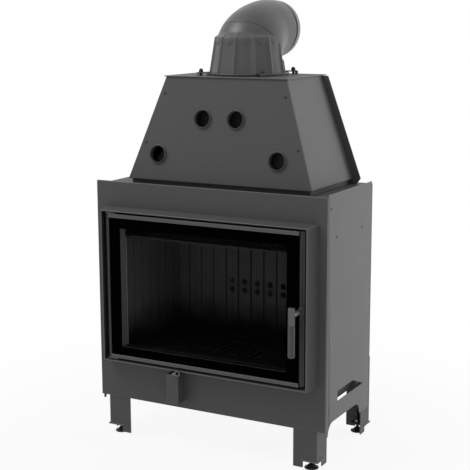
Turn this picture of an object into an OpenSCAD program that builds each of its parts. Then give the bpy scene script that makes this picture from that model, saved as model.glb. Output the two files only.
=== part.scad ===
// Fireplace insert: a welded firebox in a sheet steel casing, with a glazed door
// that swings on pins, a pyramid hood with four small ports, and a cast iron
// flue elbow in two parts. Millimetres. The front faces -Y, up is +Z.
// The origin is on the floor, at the middle of the whole width and depth.

/* [Casing] */
// width of the casing over its side panels
casing_w = 790; // [600:1:1000]
// height of the front panel
front_h = 698; // [500:1:900]
// height of the front panel's lower edge above the floor
front_z = 125; // [80:1:200]
// thickness of the casing's sheet steel
sheet_t = 3; // [1.5:0.5:5]
// how far the outer faces of the legs lie inside the casing's sides
body_in = 27; // [10:1:80]
// depth of the body, from the front panel's face to the rear legs
body_depth = 406; // [330:1:600]
// how far the side panels end in front of the rear legs' outer faces
side_short = 77; // [20:1:120]
// how far the right side panel stands above the front panel
right_rise = 6; // [0:1:20]
// how far the top plate lies below the front panel's top edge
top_drop = 12; // [0:1:40]

/* [Side panels] */
// height of the side panels' lower edge above the front panel's lower edge
side_rise = 20.5; // [5:0.5:60]
// how far the tongues at both ends hang below the front panel's lower edge
tongue_drop = 16; // [5:1:40]
// width of the front tongue
tongue_front = 10; // [5:1:40]
// width of the rear tongue
tongue_rear = 70; // [20:1:120]
// radius of the round corners between tongues and lower edge
tongue_r = 34; // [10:1:36]
// height of the slot's lower edge above the front panel's lower edge
slot_rise = 74; // [30:1:150]
// height of the slot
slot_h = 32; // [10:1:80]
// distance of the slot's front end from the front panel's face
slot_front = 87; // [40:1:150]
// distance of the slot's rear end from the side panel's rear edge
slot_rear = 41; // [20:1:100]
// how much shorter the slot's upper edge is than its lower edge
slot_bevel = 85; // [0:1:110]

/* [Door surround] */
// how far the raised surround stands out from the front panel
surround_out = 45; // [20:1:80]
// distance between the surround's front edges and the casing's sides
surround_in = 42; // [30:1:120]
// height of the surround's lower front edge above the front panel's lower edge
surround_low = 131.5; // [60:0.5:250]
// distance of the surround's upper front edge below the front panel's top edge
surround_high = 85; // [50:1:200]
// how far the sloped sides spread from the front edge to the panel
surround_slope = 16; // [5:1:40]
// how far the sheet over the door rises from its front edge to the panel
surround_rise = 6.5; // [2:0.5:20]
// how far the sheet under the door rises from its front edge to the panel
surround_lift = 4; // [0:0.5:4.5]

/* [Door] */
// gap between the door frame and the surround at the sides
door_gap = 13; // [4:1:20]
// gap between the door's lower edge and the surround's lower front edge
door_gap_low = 12; // [9:0.5:20]
// gap between the door's upper edge and the surround's upper front edge
door_gap_top = 10; // [5:0.5:20]
// depth of the door frame
door_t = 28; // [15:1:45]
// width of the door frame at both sides of its opening
stile_w = 53; // [40:1:90]
// height of the door frame below its opening
rail_h = 38.5; // [32:0.5:80]
// height of the door frame above its opening
rail_top_h = 43.5; // [32:0.5:80]
// how far the glass ends inside the door's edges at the sides
glass_in = 14.5; // [12:0.5:30]
// how far the glass ends inside the door's edges above and below
glass_in_z = 5.5; // [4:0.5:20]
// thickness of the glass pane
glass_t = 4; // [3:0.5:8]
// distance of the hinge axis from the door's left edge
hinge_in = 15; // [8:1:40]
// radius of the hinge pins
hinge_r = 4; // [2:0.5:8]
// side of the square rope seal behind the door
rope_t = 11; // [6:1:16]

/* [Handle] */
// height of the handle's shaft above the door's lower edge
handle_rise = 227.5; // [100:0.5:350]
// distance of the shaft from the door's right edge
handle_in = 9; // [7:1:30]
// radius of the shaft
shaft_r = 5; // [3:0.5:10]
// radius of the arm between the rosette and the grip
arm_r = 8; // [5:0.5:10]
// distance of the grip's axis from the glass
grip_out = 58.5; // [40:0.5:120]
// radius of the grip
grip_r = 10.5; // [6:0.5:20]
// length of the grip
grip_l = 147; // [80:1:220]
// length of the sleeve at the grip's upper end
sleeve_l = 53.5; // [30:0.5:100]
// height of the grip's top above the shaft
grip_over = 24.5; // [14:0.5:40]

/* [Hood] */
// how far the hood's base lies inside the casing's sides
hood_in = 79; // [40:1:120]
// how far the hood narrows towards its top, at each side
hood_taper = 109; // [0:1:160]
// distance of the hood's front from the front panel's face, at the base
hood_y = 63; // [30:1:150]
// distance between the hood's upper front edge and the flue's axis
hood_top_front = 146; // [130:1:220]
// how far the hood's rear plate stands in front of the rear legs' outer faces
hood_rear_in = 40; // [20:1:44]
// height of the hood's sloped sheets
hood_h = 314; // [150:1:500]
// height of the recessed frame under the hood
hood_gap = 18; // [5:1:40]
// how far the rear plate stands out beyond the hood's sides at the base
rear_out = 27; // [0:1:60]
// the same at the top
rear_top_out = 22; // [0:1:60]
// how far the top plate reaches behind the rear plate
hood_tail = 25; // [0:1:60]
// radius of the ports' bores
port_r = 26; // [15:0.5:50]
// thickness of the ports' collars
port_t = 3; // [1.5:0.5:6]
// how far the collars stand out of the hood's front
port_out = 7; // [3:1:30]

/* [Flue] */
// distance of the flue's upright axis from the rear legs' outer faces
flue_in = 142; // [140:1:200]
// radius of the outlet collar
outlet_r = 90; // [60:0.5:125]
// length of the outlet collar
outlet_l = 20; // [10:1:60]
// distance of the outlet's end from the flue's upright axis
outlet_reach = 192; // [150:1:300]
// thickness of the cast walls
cast_t = 7; // [4:0.5:12]
// radius of the round joint between the two castings
ball_r = 104; // [80:0.5:140]
// distance of the round joint's centre behind the flue's axis
ball_y = 18; // [0:1:40]
// height of the round joint's centre above the hood's top
ball_z = 92; // [60:1:150]
// radius of the elbow's bend
bend_r = 157; // [120:1:220]
// radius of the lower casting at its base
cone_r = 117; // [90:0.5:150]
// radius of the lower casting at the shoulder
cone_top_r = 99; // [80:0.5:140]
// height of the lower casting's shoulder above the hood's top
cone_h = 116; // [60:1:180]
// number of ribs around the lower casting
rib_count = 12; // [4:1:20]
// radius of the circle on which the clamps' studs stand
stud_circle = 150; // [130:1:180]

/* [Firebox] */
// distance between the side linings' faces and the legs' outer faces
box_in = 74; // [40:1:160]
// distance between the back lining's face and the rear legs' outer faces
box_rear_in = 76; // [60:1:80]
// height of the firebox floor above the front panel's lower edge
floor_rise = 167; // [80:1:250]
// thickness of the lining boards
lining_t = 25; // [15:1:40]
// thickness of the firebox's steel plate
plate_t = 4; // [3:0.5:8]
// width of one lining board between two grooves
board_w = 47; // [25:1:90]
// radius of the air holes in the back lining
air_hole_r = 9.5; // [4:0.5:15]
// number of air holes in a row
air_hole_count = 5; // [1:1:9]
// height of the upper row of air holes above the firebox floor
air_hole_rise = 172; // [60:1:300]
// distance between the two rows of air holes
air_row_gap = 28; // [22:1:60]

/* [Legs and feet] */
// width of a leg's front flange
leg_w = 78.5; // [40:0.5:120]
// width of a leg's side flange
leg_side = 70; // [30:1:100]
// height of the legs' lower ends above the floor
leg_clear = 6; // [2:1:20]
// height of the notch at a leg's lower outer corner
notch_h = 21; // [10:1:40]
// radius of the foot's pad
pad_r = 21.5; // [12:0.5:35]
// radius of the foot's stud
foot_stud_r = 5; // [3:0.5:8]

/* [Air control] */
// distance of the lever cover's left edge from the middle of the front
cover_left = 125; // [0:1:250]
// width of the lever cover
cover_w = 42; // [25:1:90]
// how far the lever cover stands out from the front panel
cover_out = 40; // [20:1:70]
// height of the lever cover
cover_h = 92; // [50:1:110]
// height of the cover's lower end above the front panel's lower edge
cover_rise = 25; // [10:1:60]
// travel of the air lever to the left
lever_travel = 20; // [8:1:30]

/* [Hidden] */
// small overrun of all cuts
eps = 0.5;
// height of the lever's rod above the cover's lower end, and its thickness
rod_rise = 18;
rod_h = 8;
// clearance between pieces that stay apart
clear = 0.3;
// radial clearance of pins and shafts in their holes
run_clear = 0.05;
// fineness of round shapes
$fn = 64;
front_top = front_z + front_h;
top_z = front_top - top_drop;
front_fold = 9;
panel_y0 = front_fold + eps;
right_top = front_top + right_rise;
half_w = casing_w/2;
body_half = half_w - body_in;
side_depth = body_depth - side_short;
slot_low_l = side_depth - slot_front - slot_rear;
slot_top_l = slot_low_l - slot_bevel;
// surround
surround_half = half_w - surround_in;
sur_z0 = front_z + surround_low;
sur_z1 = front_top - surround_high;
surround_h = sur_z1 - sur_z0;
sur_foot_z0 = sur_z0 + surround_lift;
sur_foot_z1 = sur_z1 + surround_rise;
frame_lap = 5;
// door: faces from front to back
door_half = surround_half - door_gap;
door_z0 = sur_z0 + door_gap_low;
door_z1 = sur_z1 - door_gap_top;
tape_t = 1;
glass_front = -surround_out + glass_t;
glass_back = glass_front + glass_t;
door_front = glass_back + tape_t;
door_back = door_front + door_t;
door_step = 6;
cam_gap = 2;
window_half = door_half - stile_w;
window_z0 = door_z0 + rail_h;
window_z1 = door_z1 - rail_top_h;
glass_half = door_half - glass_in;
glass_z0 = door_z0 + glass_in_z;
glass_z1 = door_z1 - glass_in_z;
frame_y = door_back + rope_t;
frame_t = 5;
frame_half = window_half + 7;
hinge_x = -door_half + hinge_in;
hinge_y = door_front + door_t/14;
shaft_x = door_half - handle_in;
shaft_z = door_z0 + handle_rise;
grip_y = glass_front - grip_out;
arm_y = glass_front - sheet_t/2;
// hood
flue_y = body_depth - flue_in;
hood_half = half_w - hood_in;
hood_top_half = hood_half - hood_taper;
hood_top_y = flue_y - hood_top_front;
hood_rear_y = body_depth - hood_rear_in;
hood_z0 = top_z + hood_gap;
hood_z1 = hood_z0 + hood_h;
hood_lean = atan((hood_top_y - hood_y)/hood_h);
hood_tilt = atan((hood_half - hood_top_half)/hood_h);
hood_len = norm([hood_top_y - hood_y, hood_h]);
hood_side_len = norm([hood_half - hood_top_half, hood_h]);
// ports: places across and up the hood's front, as shares of its base half
// width and of its sloped height
port_shares = [[-0.207, 0.606], [0.154, 0.610], [-0.679, 0.246], [0.626, 0.246]];
// screw places on the hood's front, as the same shares
hood_screw_shares = [[0.655, 0.838], [0.829, 0.355]];
// screw places on a side panel, as shares of its depth and of its height
side_screw_shares = [[0.075, 0.966], [0.205, 0.838], [0.77, 0.838]];
// flue
flue_top = hood_z1 + sheet_t;
spigot_r = outlet_r + sheet_t;
spigot_h = 12;
ring_r = 126;
foot_z = flue_top + plate_t;
foot_t = 3;
foot_r = 130;
ball_cy = flue_y + ball_y;
ball_cz = flue_top + ball_z;
outlet_z = ball_cz + bend_r*(1 - cos(45));
bend_cy = ball_cy + bend_r*sin(45);
bend_cz = ball_cz - bend_r*cos(45);
tube_r = outlet_r + 2*sheet_t/3;
outlet_end = flue_y + outlet_reach;
groove_l = 6;
seat_r = ball_r - 2*cast_t;
clamp_t = 3.5;
clamp_stud_r = 4;
clamp_rise = plate_t + foot_t + clear;
rib_turn = 7;
// firebox
box_half = body_half - box_in;
box_depth = body_depth - box_rear_in;
floor_z = front_z + floor_rise;
shell_half = box_half + lining_t + plate_t;
shell_back = box_depth + lining_t + plate_t;
shell_z0 = floor_z - lining_t - plate_t;
shell_top = sur_z1 + 4*sheet_t;
shell_y0 = frame_y + frame_t;
well_h = 68;
baffle_z = shell_top - 8*plate_t;
tray_z = shell_z0 - plate_t;
grate_half = 128;
grate_y0 = 92;
grate_rear = 82;
grate_y1 = box_depth - grate_rear;
// air lever: bar inside the cover, damper in front of the air box
cover_t = 2;
lever_bar = 12;
lever_t = 4;
lever_x = cover_w - cover_left - cover_t - lever_bar/2 - clear - eps;
cover_mid = cover_w/2 - cover_left;
rod_z = front_z + cover_rise + rod_rise;
air_y0 = 34;
air_y1 = grate_y0;
air_rise = 30;
air_z0 = front_z + air_rise;
air_port = 15;
air_port_z = shell_z0 - well_h + 2*plate_t;
air_port_h = 30;
air_open_z = rod_z + rod_h;
air_open_h = 28;
// feet
foot_plate_z = leg_clear + notch_h;
foot_in = 29;
foot_x = body_half - foot_in;
foot_y = 28;
leg_y0 = sheet_t;
nut_r = 9.5;
nut_h = 8;
// whole depth, used to set the origin in its middle
front_end = grip_y - grip_r;
mid_y = (front_end + outlet_end)/2;

// colours of the photograph
dark_paint = [0.24, 0.24, 0.25];
side_paint = [0.42, 0.42, 0.43];
cast_paint = [0.36, 0.36, 0.37];
lining_grey = [0.14, 0.14, 0.14];
steel_grey = [0.55, 0.55, 0.56];
black = [0.03, 0.03, 0.03];

// moves a piece from the front panel's frame to the part's own frame
module place() {
    translate([0, -mid_y, 0]) children();
}

// a block between two corners
module block(low, high) {
    translate(low) cube(high - low);
}

// a shape and its mirror image across the middle plane
module both_sides() {
    children();
    mirror([1, 0, 0]) children();
}

// a round bar along Y
module bar_y(x, y0, y1, z, r) {
    translate([x, y0, z]) rotate([-90, 0, 0]) cylinder(r = r, h = y1 - y0);
}

// a rectangular ring in the plane of the door
module door_ring(half_out, z_low, z_high, half_in, in_low, in_high, y0, y1) {
    difference() {
        block([-half_out, y0, z_low], [half_out, y1, z_high]);
        block([-half_in, y0 - eps, in_low], [half_in, y1 + eps, in_high]);
    }
}

// front panel with folded edges and the opening behind the surround
module front_casing() {
    color(dark_paint) place() difference() {
        union() {
            block([-half_w, 0, front_z], [half_w, sheet_t, front_top]);
            block([-half_w, 0, front_top - sheet_t], [half_w, front_fold, front_top]);
            both_sides()
                block([half_w - sheet_t, 0, front_z], [half_w, front_fold, front_top]);
        }
        block([-surround_half, -eps, sur_foot_z0 + sheet_t],
            [surround_half, sheet_t + eps, sur_foot_z1 - 2*sheet_t]);
        block([lever_x - lever_travel - lever_bar/2 - eps, -eps, rod_z - eps],
            [lever_x + lever_bar/2 + eps, sheet_t + eps, rod_z + rod_h + eps]);
    }
}

// truncated pyramid with its wide end on the front panel's face
module surround_form(shrink, over) {
    deep = surround_out + over;
    left = 1 - deep/surround_out;
    intersection() {
        translate([0, 0, sur_z0 - 2*surround_slope])
            linear_extrude(surround_h + 4*surround_slope)
                polygon([[-surround_half - surround_slope + shrink, over],
                    [surround_half + surround_slope - shrink, over],
                    [surround_half + surround_slope*left - shrink, -deep],
                    [-surround_half - surround_slope*left + shrink, -deep]]);
        translate([half_w, 0, 0]) rotate([90, 0, -90])
            linear_extrude(casing_w)
                polygon([[-over, sur_foot_z0 + shrink],
                    [-over, sur_foot_z1 - shrink],
                    [deep, sur_z1 + surround_rise*left - shrink],
                    [deep, sur_z0 + surround_lift*left + shrink]]);
    }
}

// raised surround of the door, four sloped sheets welded at their mitres
module door_surround() {
    color(dark_paint) place() difference() {
        surround_form(0, 0);
        surround_form(sheet_t, eps);
    }
}

// outline of a side panel, depth across and height up
module side_outline(top) {
    low = front_z - tongue_drop;
    edge = front_z + side_rise;
    y0 = panel_y0;
    difference() {
        translate([y0, low]) square([side_depth - y0, top - low]);
        hull() {
            for (y = [y0 + tongue_front + tongue_r, side_depth - tongue_rear - tongue_r])
                translate([y, edge - tongue_r]) circle(r = tongue_r);
            for (y = [y0 + tongue_front, side_depth - tongue_rear - sheet_t])
                translate([y, low - sheet_t]) square(sheet_t);
        }
        polygon([[slot_front, front_z + slot_rise],
            [slot_front + slot_low_l, front_z + slot_rise],
            [slot_front + slot_top_l, front_z + slot_rise + slot_h],
            [slot_front, front_z + slot_rise + slot_h]]);
    }
}

// side panel with flanges folded inwards at both upright edges
module side_panel(side, top) {
    flange = 16;
    color(side_paint) place() mirror([side < 0 ? 1 : 0, 0, 0]) {
        translate([half_w - sheet_t, 0, 0]) rotate([90, 0, 90])
            linear_extrude(sheet_t) side_outline(top);
        block([half_w - flange, side_depth - sheet_t, front_z + side_rise],
            [half_w - sheet_t, side_depth, top_z - sheet_t - clear]);
        block([half_w - flange, panel_y0, front_z + side_rise],
            [half_w - sheet_t, panel_y0 + sheet_t, top_z - sheet_t - clear]);
    }
}

module side_panel_left() {
    side_panel(-1, top_z);
}

module side_panel_right() {
    side_panel(1, right_top);
}

// flat plate between the side panels, open under the hood
module casing_top_plate() {
    inset = 16;
    color(side_paint) place() difference() {
        union() {
            block([-half_w + sheet_t, panel_y0, top_z - sheet_t],
                [half_w - sheet_t, side_depth, top_z]);
            block([-body_half, side_depth - eps, top_z - sheet_t],
                [body_half, body_depth - plate_t, top_z]);
        }
        block([-hood_half + inset, hood_y + inset, top_z - sheet_t - eps],
            [hood_half - inset, hood_rear_y - sheet_t, top_z + eps]);
    }
}

// heat shield behind the firebox, with returns along its sides
module casing_back_panel() {
    fold = 8*sheet_t;
    y1 = body_depth - plate_t;
    color(dark_paint) place() {
        block([-body_half, y1 - sheet_t, tray_z + plate_t], [body_half, y1, top_z - sheet_t]);
        both_sides() block([body_half - sheet_t, y1 - fold, tray_z + plate_t],
            [body_half, y1, top_z - sheet_t]);
    }
}

// tray that carries the firebox and stands on the legs
module base_tray() {
    hole = 10;
    lip = 34;
    side_lip = 74;
    low = tray_z;
    color(dark_paint) place() difference() {
        union() {
            block([-body_half, shell_y0, low], [body_half, body_depth - plate_t, low + plate_t]);
            block([-body_half + leg_w + sheet_t, shell_y0, low - lip],
                [body_half - leg_w - sheet_t, shell_y0 + sheet_t, low + plate_t]);
            block([-body_half + 2*sheet_t, body_depth - plate_t - sheet_t, low - lip],
                [body_half - 2*sheet_t, body_depth - plate_t, low + plate_t]);
            both_sides() block([body_half - 2*sheet_t, shell_y0, low - side_lip],
                [body_half - sheet_t, body_depth - plate_t, low + plate_t]);
        }
        block([-grate_half - hole, grate_y0 - hole, low - eps],
            [grate_half + hole, grate_y1 + hole, low + plate_t + eps]);
    }
}

// welded steel box around the linings, with the ash well in its floor
module firebox_shell() {
    ledge = 10;
    y0 = shell_y0;
    low = shell_z0 - well_h;
    color(lining_grey) place() {
        both_sides()
            block([shell_half - plate_t, y0, shell_z0], [shell_half, shell_back, shell_top]);
        block([-shell_half, shell_back - plate_t, shell_z0], [shell_half, shell_back, shell_top]);
        difference() {
            block([-shell_half, y0, shell_z0], [shell_half, shell_back, shell_z0 + plate_t]);
            block([-grate_half + ledge, grate_y0 + ledge, shell_z0 - eps],
                [grate_half - ledge, grate_y1 - ledge, shell_z0 + plate_t + eps]);
        }
        difference() {
            block([-grate_half, grate_y0, low], [grate_half, grate_y1, shell_z0]);
            block([-grate_half + plate_t, grate_y0 + plate_t, low + plate_t],
                [grate_half - plate_t, grate_y1 - plate_t, shell_z0 + eps]);
            block([cover_mid - air_port, grate_y0 - eps, air_port_z],
                [cover_mid + air_port, grate_y0 + plate_t + eps, air_port_z + air_port_h]);
        }
    }
}

// front plate of the firebox, the door's seat
module firebox_front_frame() {
    color(lining_grey) place()
        door_ring(body_half, sur_z0 - frame_lap, shell_top + frame_lap, frame_half,
            window_z0 - plate_t, window_z1 - plate_t, frame_y, frame_y + frame_t);
}

// strip that turns the wash air down over the glass
module air_deflector() {
    drop = 24;
    lip = 9;
    low = window_z1 - plate_t - drop;
    color(steel_grey) place() {
        block([-frame_half, frame_y, low], [frame_half, frame_y + sheet_t, window_z1 - plate_t]);
        translate([-frame_half, frame_y + sheet_t, low]) rotate([35, 0, 0])
            translate([0, -lip, 0]) cube([2*frame_half, lip, sheet_t/2]);
    }
}

// outline of the smoke dome seen from the front, shrunk by its wall
module dome_front(wall) {
    neck = spigot_r + 2*plate_t;
    waist_in = 34;
    mid = hood_half - waist_in;
    low = wall > 0 ? shell_top - eps : shell_top;
    polygon([[-shell_half + wall, low],
        [shell_half - wall, low],
        [mid - wall, top_z],
        [neck - wall, hood_z1 - 2*plate_t - wall],
        [-neck + wall, hood_z1 - 2*plate_t - wall],
        [-mid + wall, top_z]]);
}

// the same seen from the side
module dome_side(wall) {
    neck = spigot_r + 2*plate_t;
    waist_in = 32;
    low = wall > 0 ? shell_top - eps : shell_top;
    polygon([[shell_y0 + wall, low],
        [shell_back - wall, low],
        [shell_back - wall, hood_z1 - 2*plate_t - wall],
        [flue_y - neck + wall, hood_z1 - 2*plate_t - wall],
        [hood_y + waist_in + wall, top_z]]);
}

module dome_form(wall) {
    intersection() {
        translate([0, body_depth, 0]) rotate([90, 0, 0]) linear_extrude(body_depth + half_w)
            dome_front(wall);
        translate([-half_w, 0, 0]) rotate([90, 0, 90]) linear_extrude(casing_w)
            dome_side(wall);
    }
}

// inner hopper that leads the smoke from the firebox to the flue
module smoke_dome() {
    color(lining_grey) place() difference() {
        dome_form(0);
        dome_form(plate_t);
        translate([0, flue_y, hood_z1 - 6*plate_t])
            cylinder(r = spigot_r + clear, h = 8*plate_t);
    }
}

// low frame on the top plate with a flange that the hood's sheets stand on
module hood_base_frame() {
    inset = 8;
    y1 = hood_rear_y - sheet_t;
    color(black) place() {
        difference() {
            block([-hood_half + inset, hood_y + inset, top_z],
                [hood_half - inset, y1, hood_z0]);
            block([-hood_half + 2*inset, hood_y + 2*inset, top_z - eps],
                [hood_half - 2*inset, y1 + eps, hood_z0 + eps]);
        }
        difference() {
            block([-hood_half, hood_y, hood_z0 - sheet_t], [hood_half, y1, hood_z0]);
            block([-hood_half + 2*inset, hood_y + 2*inset, top_z - eps],
                [hood_half - 2*inset, y1 + eps, hood_z0 + eps]);
        }
    }
}

// puts a flat shape drawn across and up onto the hood's sloped front
module on_hood_front() {
    translate([0, hood_y, hood_z0]) rotate([90 - hood_lean, 0, 0]) children();
}

// the space below the flange that the hood's sheets stand on
module below_hood() {
    block([-half_w, 0, top_z], [half_w, body_depth, hood_z0]);
}

// sloped front of the hood with the four ports
module hood_front_panel() {
    color(dark_paint) place() difference() {
        on_hood_front() translate([0, 0, -sheet_t]) difference() {
            linear_extrude(sheet_t)
                polygon([[-hood_half, 0], [hood_half, 0], [hood_top_half, hood_len],
                    [-hood_top_half, hood_len]]);
            for (p = port_shares)
                translate([p.x*hood_half, p.y*hood_len, -eps])
                    cylinder(r = port_r + port_t, h = sheet_t + 2*eps);
        }
        below_hood();
    }
}

// short collars welded into the ports
module hood_port_collars() {
    back = 9;
    color(dark_paint) place() on_hood_front() for (p = port_shares)
        translate([p.x*hood_half, p.y*hood_len, -back]) difference() {
            union() {
                cylinder(r = port_r + port_t, h = back + port_out - port_t);
                translate([0, 0, back + port_out - port_t])
                    cylinder(r1 = port_r + port_t, r2 = port_r + port_t/2, h = port_t);
            }
            translate([0, 0, -eps]) cylinder(r = port_r, h = back + port_out + 2*eps);
        }
}

// sloped side of the hood, between the front and the rear plate
module hood_side(side) {
    hide = sheet_t*1.1;
    color(side_paint) place() mirror([side < 0 ? 1 : 0, 0, 0]) difference() {
        translate([hood_half, 0, hood_z0]) rotate([90, 0, 90])
            rotate([-hood_tilt, 0, 0]) translate([0, 0, -sheet_t])
                linear_extrude(sheet_t)
                    polygon([[hood_y + hide, 0], [hood_rear_y - sheet_t, 0],
                        [hood_rear_y - sheet_t, hood_side_len],
                        [hood_top_y + hide, hood_side_len]]);
        below_hood();
    }
}

module hood_side_left() {
    hood_side(-1);
}

module hood_side_right() {
    hood_side(1);
}

// upright rear plate, wider than the hood
module hood_rear_panel() {
    cut = rear_out/2;
    color(dark_paint) place() translate([0, hood_rear_y, top_z]) rotate([90, 0, 0])
        linear_extrude(sheet_t)
            polygon([[-hood_half - rear_out + cut, 0], [hood_half + rear_out - cut, 0],
                [hood_half + rear_out, hood_gap],
                [hood_top_half + rear_top_out, hood_gap + hood_h],
                [-hood_top_half - rear_top_out, hood_gap + hood_h],
                [-hood_half - rear_out, hood_gap]]);
}

// flat top of the hood
module hood_top_plate() {
    over = 5;
    color(side_paint) place() difference() {
        block([-hood_top_half - over, hood_top_y - over, hood_z1],
            [hood_top_half + over, hood_rear_y + hood_tail, flue_top]);
        translate([0, flue_y, hood_z1 - eps])
            cylinder(r = spigot_r + clear, h = sheet_t + 2*eps);
    }
}

// welded spigot of the dome, with the ring that the lower casting turns on
module flue_spigot() {
    color(steel_grey) place() translate([0, flue_y, 0]) difference() {
        union() {
            translate([0, 0, hood_z1 - 4*plate_t])
                cylinder(r = spigot_r, h = 4*plate_t + sheet_t + plate_t + spigot_h);
            translate([0, 0, flue_top]) cylinder(r = ring_r, h = plate_t);
        }
        translate([0, 0, hood_z1 - 4*plate_t - eps])
            cylinder(r = spigot_r - plate_t, h = 6*plate_t + sheet_t + spigot_h + 2*eps);
    }
}

// places of the four clamps around the flue
module at_studs(radius) {
    for (a = [45, 135, 225, 315])
        translate([0, flue_y, flue_top]) rotate([0, 0, a]) translate([radius, 0, 0]) children();
}

// clamps that hold the lower casting's foot down
module flue_clamps() {
    width = 22;
    toe = 28;
    heel = 12;
    color(cast_paint) place() at_studs(stud_circle) difference() {
        union() {
            block([-toe, -width/2, clamp_rise], [heel, width/2, clamp_rise + clamp_t]);
            block([heel - clamp_t, -width/2, 0], [heel, width/2, clamp_rise + clamp_t/2]);
        }
        translate([0, 0, -eps])
            cylinder(r = clamp_stud_r + clear, h = clamp_rise + clamp_t + 2*eps);
    }
}

// studs with dome nuts that tighten the clamps
module flue_clamp_studs() {
    rise = clamp_rise + clamp_t;
    color(black) place() at_studs(stud_circle) {
        cylinder(r = clamp_stud_r, h = rise + nut_h/2);
        translate([0, 0, rise]) cylinder(r = nut_r*0.8, h = nut_h*0.75, $fn = 6);
        translate([0, 0, rise + nut_h*0.7]) sphere(r = nut_r*0.6);
    }
}

// grooves between lining boards, drawn as seen from the end
module board_grooves(count, first) {
    groove = 3;
    for (i = [0 : count - 1])
        translate([first + i*board_w, 0]) rotate(45) square(groove*0.7, center = true);
}

// back lining of upright boards with two rows of air holes
module lining_back() {
    high = baffle_z - floor_z;
    joints = 2*floor(box_half/board_w);
    color(lining_grey) place() difference() {
        block([-box_half - lining_t, box_depth, floor_z],
            [box_half + lining_t, box_depth + lining_t, floor_z + high]);
        translate([0, box_depth, floor_z - eps]) linear_extrude(high + 2*eps)
            board_grooves(joints, -(joints - 1)*board_w/2);
        for (i = [0 : air_hole_count - 1], row = [0, 1])
            bar_y((i - (air_hole_count - 1)/2)*board_w, box_depth - eps,
                box_depth + lining_t + eps, floor_z + air_hole_rise - row*air_row_gap,
                air_hole_r);
    }
}

// side lining of upright boards
module lining_side(side) {
    high = baffle_z - floor_z;
    y0 = shell_y0;
    joints = floor((box_depth - y0)/board_w);
    color(lining_grey) place() mirror([side < 0 ? 1 : 0, 0, 0]) difference() {
        block([box_half, y0, floor_z], [box_half + lining_t, box_depth, floor_z + high]);
        translate([box_half, box_depth, floor_z - eps]) rotate(-90) linear_extrude(high + 2*eps)
            board_grooves(joints, board_w);
    }
}

module lining_left() {
    lining_side(-1);
}

module lining_right() {
    lining_side(1);
}

// floor lining around the grate
module lining_floor() {
    y0 = shell_y0;
    color(lining_grey) place() difference() {
        block([-shell_half + plate_t, y0, floor_z - lining_t],
            [shell_half - plate_t, shell_back - plate_t, floor_z]);
        block([-grate_half - clear, grate_y0 - clear, floor_z - lining_t - eps],
            [grate_half + clear, grate_y1 + clear, floor_z + eps]);
    }
}

// plate over the fire that makes the smoke turn forwards
module baffle() {
    gap = 90;
    half = shell_half - plate_t - clear;
    color(lining_grey) place()
        block([-half, shell_y0 + gap, baffle_z], [half, box_depth + lining_t, baffle_z + lining_t]);
}

// cast grate with slots, seated in the floor lining
module grate() {
    slots = 9;
    slot_w = 9;
    rim = 16;
    pitch = (2*grate_half - 2*rim)/slots;
    color(cast_paint) place() difference() {
        block([-grate_half, grate_y0, floor_z - lining_t],
            [grate_half, grate_y1, floor_z - plate_t]);
        for (i = [0 : slots - 1])
            translate([-grate_half + rim + (i + 0.5)*pitch, 0, 0])
                block([-slot_w/2, grate_y0 + rim, floor_z - lining_t - eps],
                    [slot_w/2, grate_y1 - rim, floor_z]);
    }
}

// ash pan in the well under the grate
module ash_pan() {
    ledge = 14;
    wall = 1.5;
    high = 50;
    z0 = shell_z0 - well_h + plate_t;
    color(steel_grey) place() difference() {
        block([-grate_half + ledge, grate_y0 + ledge, z0],
            [grate_half - ledge, grate_y1 - ledge, z0 + high]);
        block([-grate_half + ledge + wall, grate_y0 + ledge + wall, z0 + wall],
            [grate_half - ledge - wall, grate_y1 - ledge - wall, z0 + high + eps]);
    }
}

// air box under the tray, with the inlet that the damper closes
module air_box() {
    half = 40;
    inlet = lever_travel;
    x1 = lever_x - inlet*0.9;
    color(dark_paint) place() difference() {
        block([cover_mid - half, air_y0, air_z0], [cover_mid + half, air_y1, tray_z]);
        block([cover_mid - half + sheet_t, air_y0 + sheet_t, air_z0 + sheet_t],
            [cover_mid + half - sheet_t, air_y1 - sheet_t, tray_z - sheet_t]);
        block([x1 - inlet, air_y0 - eps, air_open_z],
            [x1, air_y0 + sheet_t + eps, air_open_z + air_open_h]);
        block([cover_mid - air_port, air_y1 - sheet_t - eps, air_port_z],
            [cover_mid + air_port, air_y1 + eps, air_port_z + air_port_h]);
    }
}

// damper plate that slides to the left over the air box's inlet
module air_damper() {
    lap = 5;
    half = lever_travel*0.9;
    y1 = air_y0 - clear;
    color(steel_grey) place()
        block([lever_x - half, y1 - sheet_t, rod_z],
            [lever_x + half, y1, air_open_z + air_open_h + lap]);
}

// lever: rod through the front panel, bar inside the cover and ring in front
module air_lever() {
    ring_out = 9.5;
    ring_in = 5.5;
    ring_over = 13;
    neck_drop = 4;
    arm_h = 4;
    y_bar = -cover_out/2;
    y_ring = -surround_out - lever_t/2;
    z_arm = front_z + cover_rise + cover_h + arm_h/2;
    z_ring = sur_z0 - neck_drop;
    color(steel_grey) place() {
        block([lever_x - lever_bar/2, y_bar, rod_z],
            [lever_x + lever_bar/2, y_bar + lever_t, z_arm + arm_h]);
        block([lever_x - lever_bar/3, y_bar + lever_t, rod_z],
            [lever_x + lever_bar/3, air_y0 - clear - sheet_t, rod_z + rod_h]);
        block([lever_x - lever_bar/2, y_ring - lever_t/2, z_arm],
            [lever_x + lever_bar/2, y_bar, z_arm + arm_h]);
        difference() {
            block([lever_x - lever_bar/2, y_ring - lever_t, z_arm],
                [lever_x + ring_over, y_ring, z_ring]);
            bar_y(lever_x + ring_over, y_ring - lever_t - eps, y_ring + eps, z_ring, ring_in);
        }
        difference() {
            bar_y(lever_x + ring_over, y_ring - lever_t, y_ring, z_ring, ring_out);
            bar_y(lever_x + ring_over, y_ring - lever_t - eps, y_ring + eps, z_ring, ring_in);
        }
    }
}

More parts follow.
